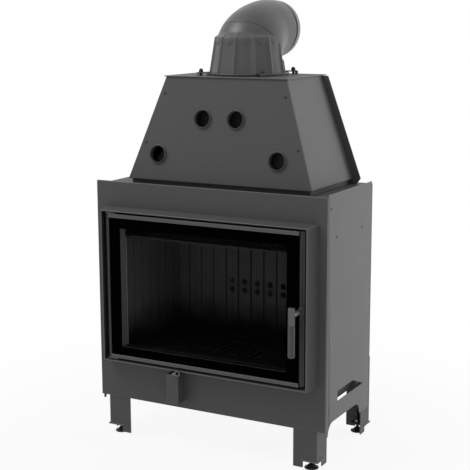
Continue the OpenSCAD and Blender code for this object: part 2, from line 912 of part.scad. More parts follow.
// folded cover over the air lever, open above and below
module lever_cover() {
    flange = 11;
    x0 = -cover_left;
    x1 = cover_w - cover_left;
    z0 = front_z + cover_rise;
    z1 = z0 + cover_h;
    color(dark_paint) place() {
        difference() {
            block([x0, -cover_out, z0], [x1, 0, z1]);
            block([x0 + cover_t, -cover_out + cover_t, z0 - eps],
                [x1 - cover_t, eps, z1 + eps]);
        }
        block([x0 - flange, -cover_t, z0], [x0 + cover_t, 0, z1]);
        block([x1 - cover_t, -cover_t, z0], [x1 + flange, 0, z1]);
    }
}

// leg of folded sheet with a notch and a foot plate at its lower outer corner
module leg() {
    notch_w = 47;
    notch_side = 36;
    leg_top = sur_z0 - frame_lap - clear;
    plate_out = 4;
    color(side_paint) {
        difference() {
            union() {
                block([body_half - leg_w, leg_y0, leg_clear],
                    [body_half, leg_y0 + sheet_t, leg_top]);
                block([body_half - sheet_t, leg_y0, leg_clear],
                    [body_half, leg_y0 + leg_side, leg_top]);
                block([body_half - sheet_t, shell_y0 + clear, leg_clear],
                    [body_half, leg_y0 + leg_side, tray_z]);
            }
            block([body_half - notch_w, leg_y0 - eps, leg_clear - eps],
                [body_half + eps, leg_y0 + notch_side, foot_plate_z]);
        }
        difference() {
            block([body_half - notch_w - plate_out, leg_y0 - plate_out, foot_plate_z],
                [body_half + plate_out, leg_y0 + notch_side + 2*plate_out, foot_plate_z + plate_t]);
            translate([foot_x, foot_y, foot_plate_z - eps])
                cylinder(r = foot_stud_r + run_clear, h = plate_t + 2*eps);
        }
    }
}

// moves a front right leg or foot to one of the four corners
module corner(side, rear) {
    place() mirror([side < 0 ? 1 : 0, 0, 0])
        translate([0, rear ? leg_y0 + body_depth : 0, 0]) mirror([0, rear ? 1 : 0, 0]) children();
}

module leg_front_left() {
    corner(-1, false) leg();
}

module leg_front_right() {
    corner(1, false) leg();
}

module leg_rear_left() {
    corner(-1, true) leg();
}

module leg_rear_right() {
    corner(1, true) leg();
}

// levelling foot: a round pad with a cone and a stud
module foot() {
    pad_h = 4;
    cone_top = 14;
    stud_top = 72;
    color(black) translate([foot_x, foot_y, 0]) {
        cylinder(r = pad_r, h = pad_h);
        translate([0, 0, pad_h]) cylinder(r1 = pad_r*0.8, r2 = nut_r*0.8, h = cone_top - pad_h);
        cylinder(r = foot_stud_r, h = stud_top);
    }
}

module foot_front_left() {
    corner(-1, false) foot();
}

module foot_front_right() {
    corner(1, false) foot();
}

module foot_rear_left() {
    corner(-1, true) foot();
}

module foot_rear_right() {
    corner(1, true) foot();
}

// nuts welded on the four foot plates
module foot_nuts() {
    color(steel_grey) for (side = [-1, 1], rear = [false, true])
        corner(side, rear) translate([foot_x, foot_y, foot_plate_z + plate_t]) difference() {
            cylinder(r = nut_r, h = nut_h, $fn = 6);
            translate([0, 0, -eps]) cylinder(r = foot_stud_r + run_clear, h = nut_h + 2*eps);
        }
}

// pan head of a sheet metal screw, standing on the plane under it
module screw_head() {
    head_r = 4;
    head_h = 2;
    cylinder(r1 = head_r, r2 = head_r*0.7, h = head_h);
}

// screws of the side panels and of the hood's front
module casing_screws() {
    color(black) place() {
        for (side = [0, 1], p = side_screw_shares)
            mirror([side, 0, 0])
                translate([half_w, p.x*side_depth, front_z + p.y*(top_z - front_z)])
                    rotate([0, 90, 0]) screw_head();
        on_hood_front() for (side = [-1, 1], p = hood_screw_shares)
            translate([side*p.x*hood_half, p.y*hood_len, 0]) screw_head();
    }
}

// brackets on the firebox frame that hold the hinge pins, above and below
module hinge_brackets() {
    thick = 3;
    wide = 34;
    gap = 1.2;
    color(dark_paint) place() for (z = [door_z1 + gap, door_z0 - gap - thick]) difference() {
        block([hinge_x - wide/3, hinge_y - 2*hinge_r, z], [hinge_x + wide*2/3, frame_y, z + thick]);
        translate([hinge_x, hinge_y, z - eps]) cylinder(r = hinge_r + run_clear, h = thick + 2*eps);
    }
}

// keeper of the latch, an angle on the firebox frame beside the cam
module latch_keeper() {
    half = 13;
    wide = 15;
    wing = 4;
    out = 12;
    x1 = surround_half - clear - eps;
    color(steel_grey) place() {
        block([x1 - wide, frame_y - sheet_t, shaft_z - half], [x1, frame_y, shaft_z + half]);
        block([x1 - wing, frame_y - out, shaft_z - half], [x1, frame_y, shaft_z + half]);
    }
}

// steel frame of the door
module door_frame() {
    color(dark_paint) place() difference() {
        door_ring(door_half, door_z0, door_z1, window_half, window_z0, window_z1,
            door_front, door_back);
        bar_y(shaft_x, door_front - eps, door_back + eps, shaft_z, shaft_r + run_clear);
        both_sides() block([door_half - door_step, door_front - eps, door_z0 - eps],
            [door_half + eps, door_front + door_step/2, door_z1 + eps]);
    }
}

// glass pane with its printed black border
module door_glass() {
    color(black) place()
        block([-glass_half, glass_front, glass_z0], [glass_half, glass_back, glass_z1]);
}

// flat tape seal between glass and frame
module glass_gasket() {
    wide = 24;
    inset = 4;
    far = inset + wide;
    color(lining_grey) place()
        door_ring(glass_half - inset, glass_z0 + inset, glass_z1 - inset, glass_half - far,
            glass_z0 + far, glass_z1 - far, glass_back, door_front);
}

// strip of folded steel over one edge of the glass, drawn along the top
module glass_strip() {
    lap = 6;
    color(steel_grey) {
        block([-glass_half, glass_front - sheet_t/2, glass_z1 - lap],
            [glass_half, glass_front, door_z1]);
        block([-glass_half, glass_front - eps, door_z1 - sheet_t],
            [glass_half, door_front, door_z1]);
    }
}

module glass_top_strip() {
    place() glass_strip();
}

module glass_bottom_strip() {
    place() translate([0, 0, door_z0 + door_z1]) mirror([0, 0, 1]) glass_strip();
}

// rope seal on the back of the door
module door_gasket() {
    gap = 8;
    color(lining_grey) place()
        door_ring(window_half + gap + rope_t, window_z0 - gap - rope_t, window_z1 + gap + rope_t,
            window_half + gap, window_z0 - gap, window_z1 + gap, door_back, frame_y);
}

// pins on the door's upper and lower edge
module hinge_pins() {
    out = 5;
    color(steel_grey) place() for (z = [door_z1, door_z0 - out])
        translate([hinge_x, hinge_y, z]) cylinder(r = hinge_r, h = out);
}

// rosette on the door around the shaft
module handle_rosette() {
    ros_r = 12;
    ros_t = 7;
    y1 = door_front + door_step/2;
    color(dark_paint) place() difference() {
        bar_y(shaft_x, y1 - ros_t, y1, shaft_z, ros_r);
        bar_y(shaft_x, y1 - ros_t - eps, y1 + eps, shaft_z, shaft_r + run_clear);
        block([shaft_x - 2*ros_r, y1 - ros_t - eps, shaft_z - ros_r],
            [glass_half + clear, y1 + eps, shaft_z + ros_r]);
        block([shaft_x - 2*ros_r, door_front, shaft_z - ros_r],
            [door_half - door_step, y1 + eps, shaft_z + ros_r]);
    }
}

// thick arm of the handle, and its shaft through the door
module handle_shaft() {
    color(steel_grey) place() {
        bar_y(shaft_x, grip_y, arm_y, shaft_z, arm_r);
        bar_y(shaft_x, arm_y - eps, door_back + cam_gap, shaft_z, shaft_r);
    }
}

// dark lower part of the grip
module handle_grip() {
    low = shaft_z + grip_over - grip_l;
    high = shaft_z + grip_over - sleeve_l;
    color(black) place() translate([shaft_x, grip_y, low]) {
        cylinder(r1 = grip_r*0.8, r2 = grip_r, h = grip_r*0.2);
        translate([0, 0, grip_r*0.2]) cylinder(r = grip_r, h = high - low - grip_r*0.2);
    }
}

// bright sleeve at the top of the grip, on the shaft
module handle_sleeve() {
    low = shaft_z + grip_over - sleeve_l;
    color(steel_grey) place() difference() {
        translate([shaft_x, grip_y, low]) {
            cylinder(r = grip_r, h = sleeve_l - grip_r*0.2);
            translate([0, 0, sleeve_l - grip_r*0.2]) cylinder(r1 = grip_r, r2 = grip_r*0.8, h = grip_r*0.2);
        }
        bar_y(shaft_x, grip_y, grip_y + 2*grip_r, shaft_z, arm_r);
    }
}

// cam on the inner end of the shaft
module latch_cam() {
    nose = 11;
    thick = 5;
    half = 7;
    y0 = door_back + cam_gap;
    color(steel_grey) place() {
        bar_y(shaft_x, y0, y0 + thick, shaft_z, half);
        block([shaft_x, y0, shaft_z - half], [shaft_x + nose, y0 + thick, shaft_z + half]);
    }
}

// puts a shape on the joint plane of the two castings, its up along the joint's axis
module on_joint() {
    translate([0, ball_cy, ball_cz]) rotate([-45, 0, 0]) children();
}

// the space below the joint plane
module below_joint() {
    big = 2*bend_r + outlet_reach;
    on_joint() translate([-big/2, -big/2, -big]) cube(big);
}

// outside of the lower casting: cone, shoulder, ball and ribs
module lower_form(wall) {
    z0 = foot_z + clear;
    shoulder = 30;
    translate([0, flue_y, z0])
        cylinder(r1 = cone_r - wall, r2 = cone_top_r - wall, h = flue_top + cone_h - z0);
    translate([0, flue_y, flue_top + cone_h - clear])
        cylinder(r1 = cone_top_r - wall, r2 = cone_top_r - wall - shoulder, h = shoulder);
    translate([0, ball_cy, ball_cz]) sphere(r = ball_r - wall);
}

// ribs around the lower casting, tapered with it
module ribs() {
    wide = 11;
    out = 4;
    z0 = foot_z + clear;
    lean = atan((cone_r - cone_top_r)/(flue_top + cone_h - z0));
    long = flue_top + cone_h - z0;
    for (i = [0 : rib_count - 1])
        translate([0, flue_y, z0]) rotate([0, 0, rib_turn + i*360/rib_count])
            translate([cone_r - 2*out, -wide/2, 0]) rotate([0, -lean, 0])
                cube([3*out, wide, long]);
}

// lower casting of the flue: foot, ribbed cone and lower half of the ball
module flue_lower_casting() {
    lip = 11;
    z0 = foot_z + clear;
    color(cast_paint) place() {
        difference() {
            intersection() {
                union() {
                    lower_form(0);
                    ribs();
                    translate([0, flue_y, z0]) cylinder(r = foot_r, h = foot_t - clear);
                }
                below_joint();
                block([-half_w, 0, z0], [half_w, casing_w, z0 + casing_w]);
            }
            difference() {
                lower_form(cast_t);
                translate([0, flue_y, z0 - eps]) cylinder(r = ring_r, h = spigot_h/2 + eps);
            }
            translate([0, flue_y, z0 - eps]) cylinder(r = spigot_r + run_clear, h = spigot_h);
        }
        on_joint() difference() {
            translate([0, 0, -lip]) cylinder(r = seat_r - run_clear, h = 2*lip);
            translate([0, 0, -lip - eps]) cylinder(r = seat_r - cast_t, h = 2*lip + 2*eps);
        }
        on_joint() difference() {
            translate([0, 0, -lip]) cylinder(r = ball_r - cast_t + 2*eps, h = lip/2);
            translate([0, 0, -lip - eps]) cylinder(r = seat_r - cast_t, h = lip + eps);
        }
    }
}

// upper half of the ball from a given height above the joint plane
module half_ball(wall, from) {
    on_joint() rotate_extrude() intersection() {
        circle(r = ball_r - wall);
        translate([0, from]) square(ball_r);
    }
}

// bent tube and straight end of the elbow, from the joint plane to the outlet
module elbow_tube(wall, over) {
    tail_end = outlet_end - outlet_l;
    translate([0, bend_cy, bend_cz]) rotate([90, 0, 90]) rotate([0, 0, 90])
        rotate_extrude(angle = 45) translate([bend_r, 0]) circle(r = tube_r - wall);
    bar_y(0, bend_cy, tail_end + over, outlet_z, tube_r - wall);
}

// upper casting of the flue: upper half of the ball and the elbow
module flue_elbow() {
    seat = 14;
    tail_end = outlet_end - outlet_l;
    color(cast_paint) place() difference() {
        union() {
            half_ball(0, clear);
            elbow_tube(0, 0);
        }
        half_ball(cast_t, seat);
        elbow_tube(cast_t, eps);
        on_joint() translate([0, 0, -eps]) cylinder(r = seat_r, h = seat + 2*eps);
        on_joint() translate([0, 0, -eps]) cylinder(r = ball_r, h = clear + eps);
        difference() {
            bar_y(0, tail_end - groove_l, tail_end + eps, outlet_z, tube_r + sheet_t);
            bar_y(0, tail_end - groove_l - eps, tail_end + 2*eps, outlet_z, outlet_r - sheet_t);
        }
    }
}

// turned collar at the outlet that the flue pipe slides over
module flue_outlet_collar() {
    color(side_paint) place() difference() {
        bar_y(0, outlet_end - outlet_l, outlet_end, outlet_z, outlet_r);
        bar_y(0, outlet_end - outlet_l - eps, outlet_end + eps, outlet_z, tube_r - cast_t);
    }
}

front_casing();
door_surround();
side_panel_left();
side_panel_right();
casing_top_plate();
casing_back_panel();
base_tray();
firebox_shell();
firebox_front_frame();
air_deflector();
smoke_dome();
hood_base_frame();
hood_front_panel();
hood_side_left();
hood_side_right();
hood_rear_panel();
hood_top_plate();
hood_port_collars();
flue_spigot();
flue_clamps();
flue_clamp_studs();
lining_back();
lining_left();
lining_right();
lining_floor();
baffle();
grate();
ash_pan();
air_box();
air_damper();
air_lever();
lever_cover();
leg_front_left();
leg_front_right();
leg_rear_left();
leg_rear_right();
foot_front_left();
foot_front_right();
foot_rear_left();
foot_rear_right();
foot_nuts();
casing_screws();
hinge_brackets();
latch_keeper();
door_frame();
door_glass();
glass_top_strip();
glass_bottom_strip();
glass_gasket();
door_gasket();
hinge_pins();
handle_rosette();
handle_shaft();
handle_grip();
handle_sleeve();
latch_cam();
flue_lower_casting();
flue_elbow();
flue_outlet_collar();
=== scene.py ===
import math

import bmesh
import bpy
from mathutils import Matrix, Vector


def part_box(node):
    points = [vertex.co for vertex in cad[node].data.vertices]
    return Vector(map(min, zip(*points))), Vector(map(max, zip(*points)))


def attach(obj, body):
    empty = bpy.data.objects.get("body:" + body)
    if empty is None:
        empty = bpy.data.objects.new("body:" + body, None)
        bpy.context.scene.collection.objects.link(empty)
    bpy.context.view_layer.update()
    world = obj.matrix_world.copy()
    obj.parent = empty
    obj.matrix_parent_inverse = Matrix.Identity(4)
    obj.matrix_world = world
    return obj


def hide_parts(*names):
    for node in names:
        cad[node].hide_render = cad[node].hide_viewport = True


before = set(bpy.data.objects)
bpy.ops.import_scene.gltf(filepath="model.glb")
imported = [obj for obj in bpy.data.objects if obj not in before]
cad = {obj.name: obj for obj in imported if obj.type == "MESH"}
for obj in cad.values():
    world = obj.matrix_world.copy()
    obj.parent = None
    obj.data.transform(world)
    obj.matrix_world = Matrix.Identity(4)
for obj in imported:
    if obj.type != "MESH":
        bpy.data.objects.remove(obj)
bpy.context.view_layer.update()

# ---------------------------------------------------------------- camera
# The photograph's view: right of the front and a little above, with a long lens. Its
# place and angles were fitted to the object's straight edges.
view_azimuth, view_pitch, view_roll = map(math.radians, (28.61, 10.84, -0.21))
lens_mm, sensor_mm = 89.05, 36.0
camera_place = (1.7111, -3.1326, 1.3365)
back = Vector((math.sin(view_azimuth) * math.cos(view_pitch),
               -math.cos(view_azimuth) * math.cos(view_pitch), math.sin(view_pitch)))
level = Vector((math.cos(view_azimuth), math.sin(view_azimuth), 0.0))
across = math.cos(view_roll) * level + math.sin(view_roll) * back.cross(level)
eye = bpy.data.cameras.new("photo_camera")
eye.lens, eye.sensor_width, eye.clip_end = lens_mm, sensor_mm, 60.0
camera = bpy.data.objects.new("photo_camera", eye)
bpy.context.scene.collection.objects.link(camera)
turn = Matrix((across, back.cross(across), back)).transposed().to_4x4()
camera.matrix_world = Matrix.Translation(camera_place) @ turn
bpy.context.scene.camera = camera
bpy.context.scene.view_settings.view_transform = "Standard"


# ---------------------------------------------------------------- studio
# A white room and two soft boxes: a large one behind at the right, which lights the
# right side most, and a weaker one above, in front at the left. The room's own light
# fills the rest.
def linear(hex_colour, share=1.0):
    """sRGB hex to linear colour, made lighter or darker by a share."""
    parts = [int(hex_colour[i:i + 2], 16) / 255 for i in (1, 3, 5)]
    parts = [p / 12.92 if p <= 0.04045 else ((p + 0.055) / 1.055) ** 2.4 for p in parts]
    return tuple(min(1.0, p * share) for p in parts) + (1.0,)


def add(tree, kind, feeds=None, **settings):
    """Adds one node with its settings and with what feeds its sockets."""
    node = tree.nodes.new(kind)
    for name, value in settings.items():
        setattr(node, name, value)
    for socket, value in (feeds or {}).items():
        if isinstance(value, bpy.types.NodeSocket):
            tree.links.new(value, node.inputs[socket])
        else:
            node.inputs[socket].default_value = value
    return node


room_fill = 0.46
studio = bpy.data.worlds.new("studio_room")
studio.use_nodes = True
room = studio.node_tree
room.nodes.clear()
seen = add(room, "ShaderNodeLightPath")
shown = add(room, "ShaderNodeMath", {0: seen.outputs["Is Camera Ray"],
            1: seen.outputs["Is Glossy Ray"]}, operation="MAXIMUM")
shown = add(room, "ShaderNodeMath", {0: shown.outputs[0],
            1: seen.outputs["Is Transmission Ray"]}, operation="MAXIMUM")
white = add(room, "ShaderNodeBackground", {"Color": (1, 1, 1, 1), "Strength": 1.0})
fill = add(room, "ShaderNodeBackground", {"Color": (1, 1, 1, 1), "Strength": room_fill})
both = add(room, "ShaderNodeMixShader", {0: shown.outputs[0], 1: fill.outputs[0],
           2: white.outputs[0]})
add(room, "ShaderNodeOutputWorld", {"Surface": both.outputs[0]})
bpy.context.scene.world = studio

middle = Vector((0.0, 0.0, 0.62))
# name, place and size in metres, watts
soft_boxes = [
    ("soft_box_right", (2.6, 2.9, 1.2), (2.4, 2.2), 145.0),
    ("soft_box_above", (-1.5, -1.4, 3.3), (1.7, 1.7), 48.0),
]
for box_name, place, size, watts in soft_boxes:
    lamp = bpy.data.lights.new(box_name, "AREA")
    lamp.shape, lamp.size, lamp.size_y, lamp.energy = "RECTANGLE", size[0], size[1], watts
    soft_box = bpy.data.objects.new(box_name, lamp)
    bpy.context.scene.collection.objects.link(soft_box)
    soft_box.location = place
    soft_box.visible_camera = False
    # behind the object, its mirror image would burn out the sloped side
    soft_box.visible_glossy = box_name != "soft_box_right"
    soft_box.rotation_euler = (Vector(place) - middle).to_track_quat("Z", "Y").to_euler()

# floor: a white board that glows white, a little less close to the object, where its
# soft shadow shows
floor_half, shadow_near, shadow_far, glow_near = 9.0, 0.5, 1.6, 0.9
floor_mesh = bpy.data.meshes.new("studio_floor")
floor_mesh.from_pydata([(-floor_half, -floor_half, 0), (floor_half, -floor_half, 0),
                        (floor_half, floor_half, 0), (-floor_half, floor_half, 0)],
                       [], [(0, 1, 2, 3)])
floor = bpy.data.objects.new("studio_floor", floor_mesh)
bpy.context.scene.collection.objects.link(floor)
board = bpy.data.materials.new("white_floor_board")
board.use_nodes = True
t = board.node_tree
t.nodes.clear()
seen = add(t, "ShaderNodeLightPath")
shown = add(t, "ShaderNodeMath", {0: seen.outputs["Is Camera Ray"],
            1: seen.outputs["Is Glossy Ray"]}, operation="MAXIMUM")
shown = add(t, "ShaderNodeMath", {0: shown.outputs[0],
            1: seen.outputs["Is Transmission Ray"]}, operation="MAXIMUM")
place_on_floor = add(t, "ShaderNodeTexCoord")
from_middle = add(t, "ShaderNodeVectorMath", {0: place_on_floor.outputs["Object"]},
                  operation="LENGTH")
far_off = add(t, "ShaderNodeMapRange", {"Value": from_middle.outputs["Value"],
              "From Min": shadow_near, "From Max": shadow_far, "To Min": glow_near,
              "To Max": 1.0},
              interpolation_type="SMOOTHSTEP")
share_lit = add(t, "ShaderNodeMath", {0: shown.outputs[0], 1: far_off.outputs[0]},
                operation="MULTIPLY")
matt = add(t, "ShaderNodeBsdfDiffuse", {"Color": linear("#e4e4e4")})
glow = add(t, "ShaderNodeEmission", {"Color": (1, 1, 1, 1), "Strength": 1.0})
both = add(t, "ShaderNodeMixShader", {0: share_lit.outputs[0], 1: matt.outputs[0],
           2: glow.outputs[0]})
add(t, "ShaderNodeOutputMaterial", {"Surface": both.outputs[0]})
floor_mesh.materials.append(board)

# ---------------------------------------------------------------- casing
# Front panel, sides, top and back are folded from 3 mm sheet steel and sprayed with matt
# heat-proof paint. Each fold has a small radius that catches the light as a fine line, and
# its faces are painted lighter, a painted highlight.
mm = 0.001


def sprayed(name, colour, roughness, grain_mm, grain_depth, cloud_mm=90, specular=0.3):
    """Matt heat-proof spray paint: a fine grain, faint clouds from the spray passes in
    colour and sheen, and a few dust nibs."""
    paint = bpy.data.materials.new(name)
    paint.use_nodes = True
    t = paint.node_tree
    t.nodes.clear()
    where = add(t, "ShaderNodeTexCoord").outputs["Object"]
    cloud = add(t, "ShaderNodeTexNoise", {"Vector": where, "Scale": 1 / (cloud_mm * mm),
                "Detail": 4.0, "Roughness": 0.55})
    grain = add(t, "ShaderNodeTexNoise", {"Vector": where, "Scale": 1 / (grain_mm * mm),
                "Detail": 2.0, "Roughness": 0.6})
    # one dust nib in about 17 mm
    nibs = add(t, "ShaderNodeTexVoronoi", {"Vector": where, "Scale": 1 / (17 * mm)})
    nib = add(t, "ShaderNodeMapRange", {"Value": nibs.outputs["Distance"],
              "From Min": 0.03, "From Max": 0.08, "To Min": 1.0, "To Max": 0.0})
    tone = add(t, "ShaderNodeMapRange", {"Value": cloud.outputs["Fac"], "From Min": 0.3,
               "From Max": 0.7})
    skin = add(t, "ShaderNodeMix", {6: linear(colour, 0.93), 7: linear(colour, 1.07),
               0: tone.outputs[0]}, data_type="RGBA")
    fleck = add(t, "ShaderNodeMix", {6: linear(colour, 0.85), 7: linear(colour, 1.15),
                0: grain.outputs["Fac"]}, data_type="RGBA")
    mixed = add(t, "ShaderNodeMix", {0: 0.5, 6: skin.outputs[2], 7: fleck.outputs[2]},
                data_type="RGBA")
    sheen = add(t, "ShaderNodeMapRange", {"Value": cloud.outputs["Fac"],
                "From Min": 0.3, "From Max": 0.7, "To Min": roughness - 0.05,
                "To Max": roughness + 0.05})
    relief = add(t, "ShaderNodeMath", {0: nib.outputs[0], 1: 1.5, 2: grain.outputs["Fac"]},
                 operation="MULTIPLY_ADD")
    bump = add(t, "ShaderNodeBump", {"Strength": 0.5, "Distance": grain_depth * mm,
               "Height": relief.outputs[0]})
    skin_of = add(t, "ShaderNodeBsdfPrincipled", {"Base Color": mixed.outputs[2],
                  "Roughness": sheen.outputs[0], "Normal": bump.outputs[0],
                  "Specular IOR Level": specular, "IOR": 1.5})
    add(t, "ShaderNodeOutputMaterial", {"Surface": skin_of.outputs[0]})
    return paint


# the real grain is 0.3 mm, drawn at 1.6 mm so that it shows
stove_paint = sprayed("matt_stove_paint", "#4b4b4c", 0.55, 1.6, 0.06)
# over a fold the paint is painted lighter: a painted highlight where the fold catches the
# light
fold_highlight_paint = sprayed("stove_paint_painted_fold_highlight", "#6f6f71", 0.42, 1.6, 0.04)


def folded(node, paint, edge_paint, radius=0.9, rounds=2):
    """Paints a sheet part of the frame and gives its edges their small radius, in the edge
    paint: on most parts a lighter copy, a painted highlight.
    """
    part = cad[node]
    for place in part.material_slots:
        place.material = paint
    part.data.materials.append(edge_paint)
    weld = part.modifiers.new("joined_faces", "WELD")
    weld.merge_threshold = 0.01 * mm
    edge = part.modifiers.new("fold_radius", "BEVEL")
    edge.width, edge.segments, edge.limit_method = radius * mm, rounds, "ANGLE"
    edge.angle_limit = math.radians(32)
    edge.material = len(part.data.materials) - 1
    edge.use_clamp_overlap = True
    return part


for node in ("front_casing", "casing_top_plate", "casing_back_panel", "base_tray",
             "door_surround"):
    folded(node, stove_paint, fold_highlight_paint)
# the side sheets are painted a shade lighter than the front: painted light, for the light
# that falls on the sides
lit_side_paint = sprayed("stove_paint_sides_painted_light", "#5f5f60", 0.55, 1.6, 0.06)
for node in ("side_panel_left", "side_panel_right"):
    folded(node, lit_side_paint, fold_highlight_paint)

# ---------------------------------------------------------------- screws
# Button head screws with a hexagon socket: sprayed over with the side panels they hold, in
# their lighter paint, which is painted light, and of blackened steel on the hood's front
# and along the edges of the back panel.
front_y, casing_top, side_deep, half_wide = -173.0, 811.0, 329.0, 395.0


def blackened(name, colour, roughness):
    """Oil-blackened steel: a deep grey metal with a soft uneven shine."""
    steel = bpy.data.materials.new(name)
    steel.use_nodes = True
    t = steel.node_tree
    t.nodes.clear()
    where = add(t, "ShaderNodeTexCoord").outputs["Object"]
    # handling marks are a few mm wide
    marks = add(t, "ShaderNodeTexNoise", {"Vector": where, "Scale": 1 / (4 * mm),
                "Detail": 3.0})
    tone = add(t, "ShaderNodeMix", {6: linear(colour, 0.75), 7: linear(colour, 1.25),
               0: marks.outputs["Fac"]}, data_type="RGBA")
    shine = add(t, "ShaderNodeMapRange", {"Value": marks.outputs["Fac"],
                "To Min": roughness - 0.1, "To Max": roughness + 0.1})
    bump = add(t, "ShaderNodeBump", {"Strength": 0.3, "Distance": 0.05 * mm,
               "Height": marks.outputs["Fac"]})
    metal = add(t, "ShaderNodeBsdfPrincipled", {"Base Color": tone.outputs[2],
                "Metallic": 1.0, "Roughness": shine.outputs[0],
                "Normal": bump.outputs[0]})
    add(t, "ShaderNodeOutputMaterial", {"Surface": metal.outputs[0]})
    return steel


black_steel = blackened("oil_blackened_steel", "#3a3a3c", 0.42)


def made(name, shape, finishes, body, nodes=(), sharp=32):
    """A piece from its bmesh: sharp edges kept, finishes, body and what it replaces."""
    bmesh.ops.recalc_face_normals(shape, faces=shape.faces)
    for face in shape.faces:
        face.smooth = True
    for edge in shape.edges:
        if len(edge.link_faces) == 2 and edge.calc_face_angle() > math.radians(sharp):
            edge.smooth = False
    mesh = bpy.data.meshes.new(name)
    shape.to_mesh(mesh)
    shape.free()
    for finish in finishes:
        mesh.materials.append(finish)
    piece = bpy.data.objects.new(name, mesh)
    bpy.context.scene.collection.objects.link(piece)
    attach(piece, body)
    if nodes:
        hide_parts(*nodes)
    return piece


def spun(shape, outline, place, along=(0, 0, 1), steps=48, ring=False):
    """Adds a turned form to a bmesh: its outline of radius and height in mm, spun round
    a line; a radius may be a function of the angle."""
    stand = Matrix.Translation(Vector(place) * mm) @ Vector((0, 0, 1)).rotation_difference(
        Vector(along)).to_matrix().to_4x4()
    rows = []
    for radius, height in outline:
        if radius == 0:
            rows.append([shape.verts.new(stand @ Vector((0, 0, height * mm)))])
            continue
        row = []
        for i in range(steps):
            a = 2 * math.pi * i / steps
            r = (radius(a) if callable(radius) else radius) * mm
            row.append(shape.verts.new(stand @ Vector((r * math.cos(a), r * math.sin(a),
                                                       height * mm))))
        rows.append(row)
    pairs = list(zip(rows, rows[1:])) + ([(rows[-1], rows[0])] if ring else [])
    for low, high in pairs:
        for i in range(steps):
            j = (i + 1) % steps
            quad = (low[i % len(low)], low[j % len(low)], high[j % len(high)],
                    high[i % len(high)])
            corners = list(dict.fromkeys(quad))
            if len(corners) > 2:
                shape.faces.new(corners)


def hexagon(corner):
    """Radius of a hexagon by angle, from its radius over the corners."""
    flat = corner * math.cos(math.pi / 6)
    return lambda a: flat / math.cos((a % (math.pi / 3)) - math.pi / 6)


def button_head(shape, place, along):
    """Adds a screw's button head, 8 mm across, with its hexagon socket."""
    socket = hexagon(1.5)
    spun(shape, [(0, 0.02), (3.9, 0.02), (4.0, 0.25), (3.9, 0.75), (3.4, 1.35),
                 (2.6, 1.8), (1.9, 1.98), (lambda a: socket(a) * 1.08, 1.98),
                 (socket, 1.85), (socket, 0.9), (0, 0.7)], place, along, 24)


hood_base_y, hood_base_z, hood_half, hood_rise, hood_back = 63.0, 829.0, 316.0, 314.0, 55.0
hood_slope = math.hypot(hood_rise, hood_back)
hood_up = Vector((0, hood_back / hood_slope, hood_rise / hood_slope))
hood_out = Vector((0, -hood_rise / hood_slope, hood_back / hood_slope))


def on_hood(share_across, share_up):
    """A place on the hood's sloped front, by the shares of its half width and height."""
    return (Vector((share_across * hood_half, hood_base_y + front_y, hood_base_z))
            + hood_up * share_up * hood_slope)


# places by the shares of a sheet's depth or half width, and of its height, which counts
# from the lower edge
side_low = 125.0
side_heads, hood_heads = bmesh.new(), bmesh.new()
for side in (-1, 1):
    for share_deep, share_high in ((0.075, 0.966), (0.205, 0.838), (0.77, 0.838)):
        high = side_low + share_high * (casing_top - side_low)
        button_head(side_heads, (side * half_wide, share_deep * side_deep + front_y,
                                 high), (side, 0, 0))
    for share in ((0.655, 0.838), (0.829, 0.355)):
        button_head(hood_heads, on_hood(side * share[0], share[1]), hood_out)
made("side_screw_heads", side_heads, [lit_side_paint], "casing",
     ["casing_screws"])
made("hood_screw_heads", hood_heads, [black_steel], "casing")

back_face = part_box("casing_back_panel")[1].y / mm
screw_out, screw_row = 350, 795
heads = bmesh.new()
for side in (-1, 1):
    for high in (330, 480, 630, 770):
        button_head(heads, (side * screw_out, back_face, high), (0, 1, 0))
for wide in (-210, -70, 70, 210):
    button_head(heads, (wide, back_face, screw_row), (0, 1, 0))
made("back_panel_screw_heads", heads, [black_steel], "casing")

# ---------------------------------------------------------------- legs and levelling feet
# Four legs of folded sheet stand on M10 levelling feet: a hard black plastic foot on a
# blackened steel stud, which runs in a zinc plated nut welded on the leg's foot plate.
for node in ("leg_front_left", "leg_front_right", "leg_rear_left", "leg_rear_right"):
    folded(node, stove_paint, fold_highlight_paint)


def moulded(name, colour, roughness):
    """Moulded glass-filled plastic: nearly black, satin, with a fine spark texture."""
    plastic = bpy.data.materials.new(name)
    plastic.use_nodes = True
    t = plastic.node_tree
    t.nodes.clear()
    where = add(t, "ShaderNodeTexCoord").outputs["Object"]
    spark = add(t, "ShaderNodeTexNoise", {"Vector": where, "Scale": 1 / (0.9 * mm),
                "Detail": 2.0})
    scuffs = add(t, "ShaderNodeTexNoise", {"Vector": where, "Scale": 1 / (9 * mm),
                 "Detail": 5.0})
    tone = add(t, "ShaderNodeMix", {6: linear(colour, 0.8), 7: linear(colour, 1.5),
               0: scuffs.outputs["Fac"]}, data_type="RGBA")
    sheen = add(t, "ShaderNodeMapRange", {"Value": scuffs.outputs["Fac"],
                "To Min": roughness - 0.1, "To Max": roughness + 0.1})
    bump = add(t, "ShaderNodeBump", {"Strength": 0.4, "Distance": 0.05 * mm,
               "Height": spark.outputs["Fac"]})
    body = add(t, "ShaderNodeBsdfPrincipled", {"Base Color": tone.outputs[2],
               "Roughness": sheen.outputs[0], "Normal": bump.outputs[0], "IOR": 1.5})
    add(t, "ShaderNodeOutputMaterial", {"Surface": body.outputs[0]})
    return plastic


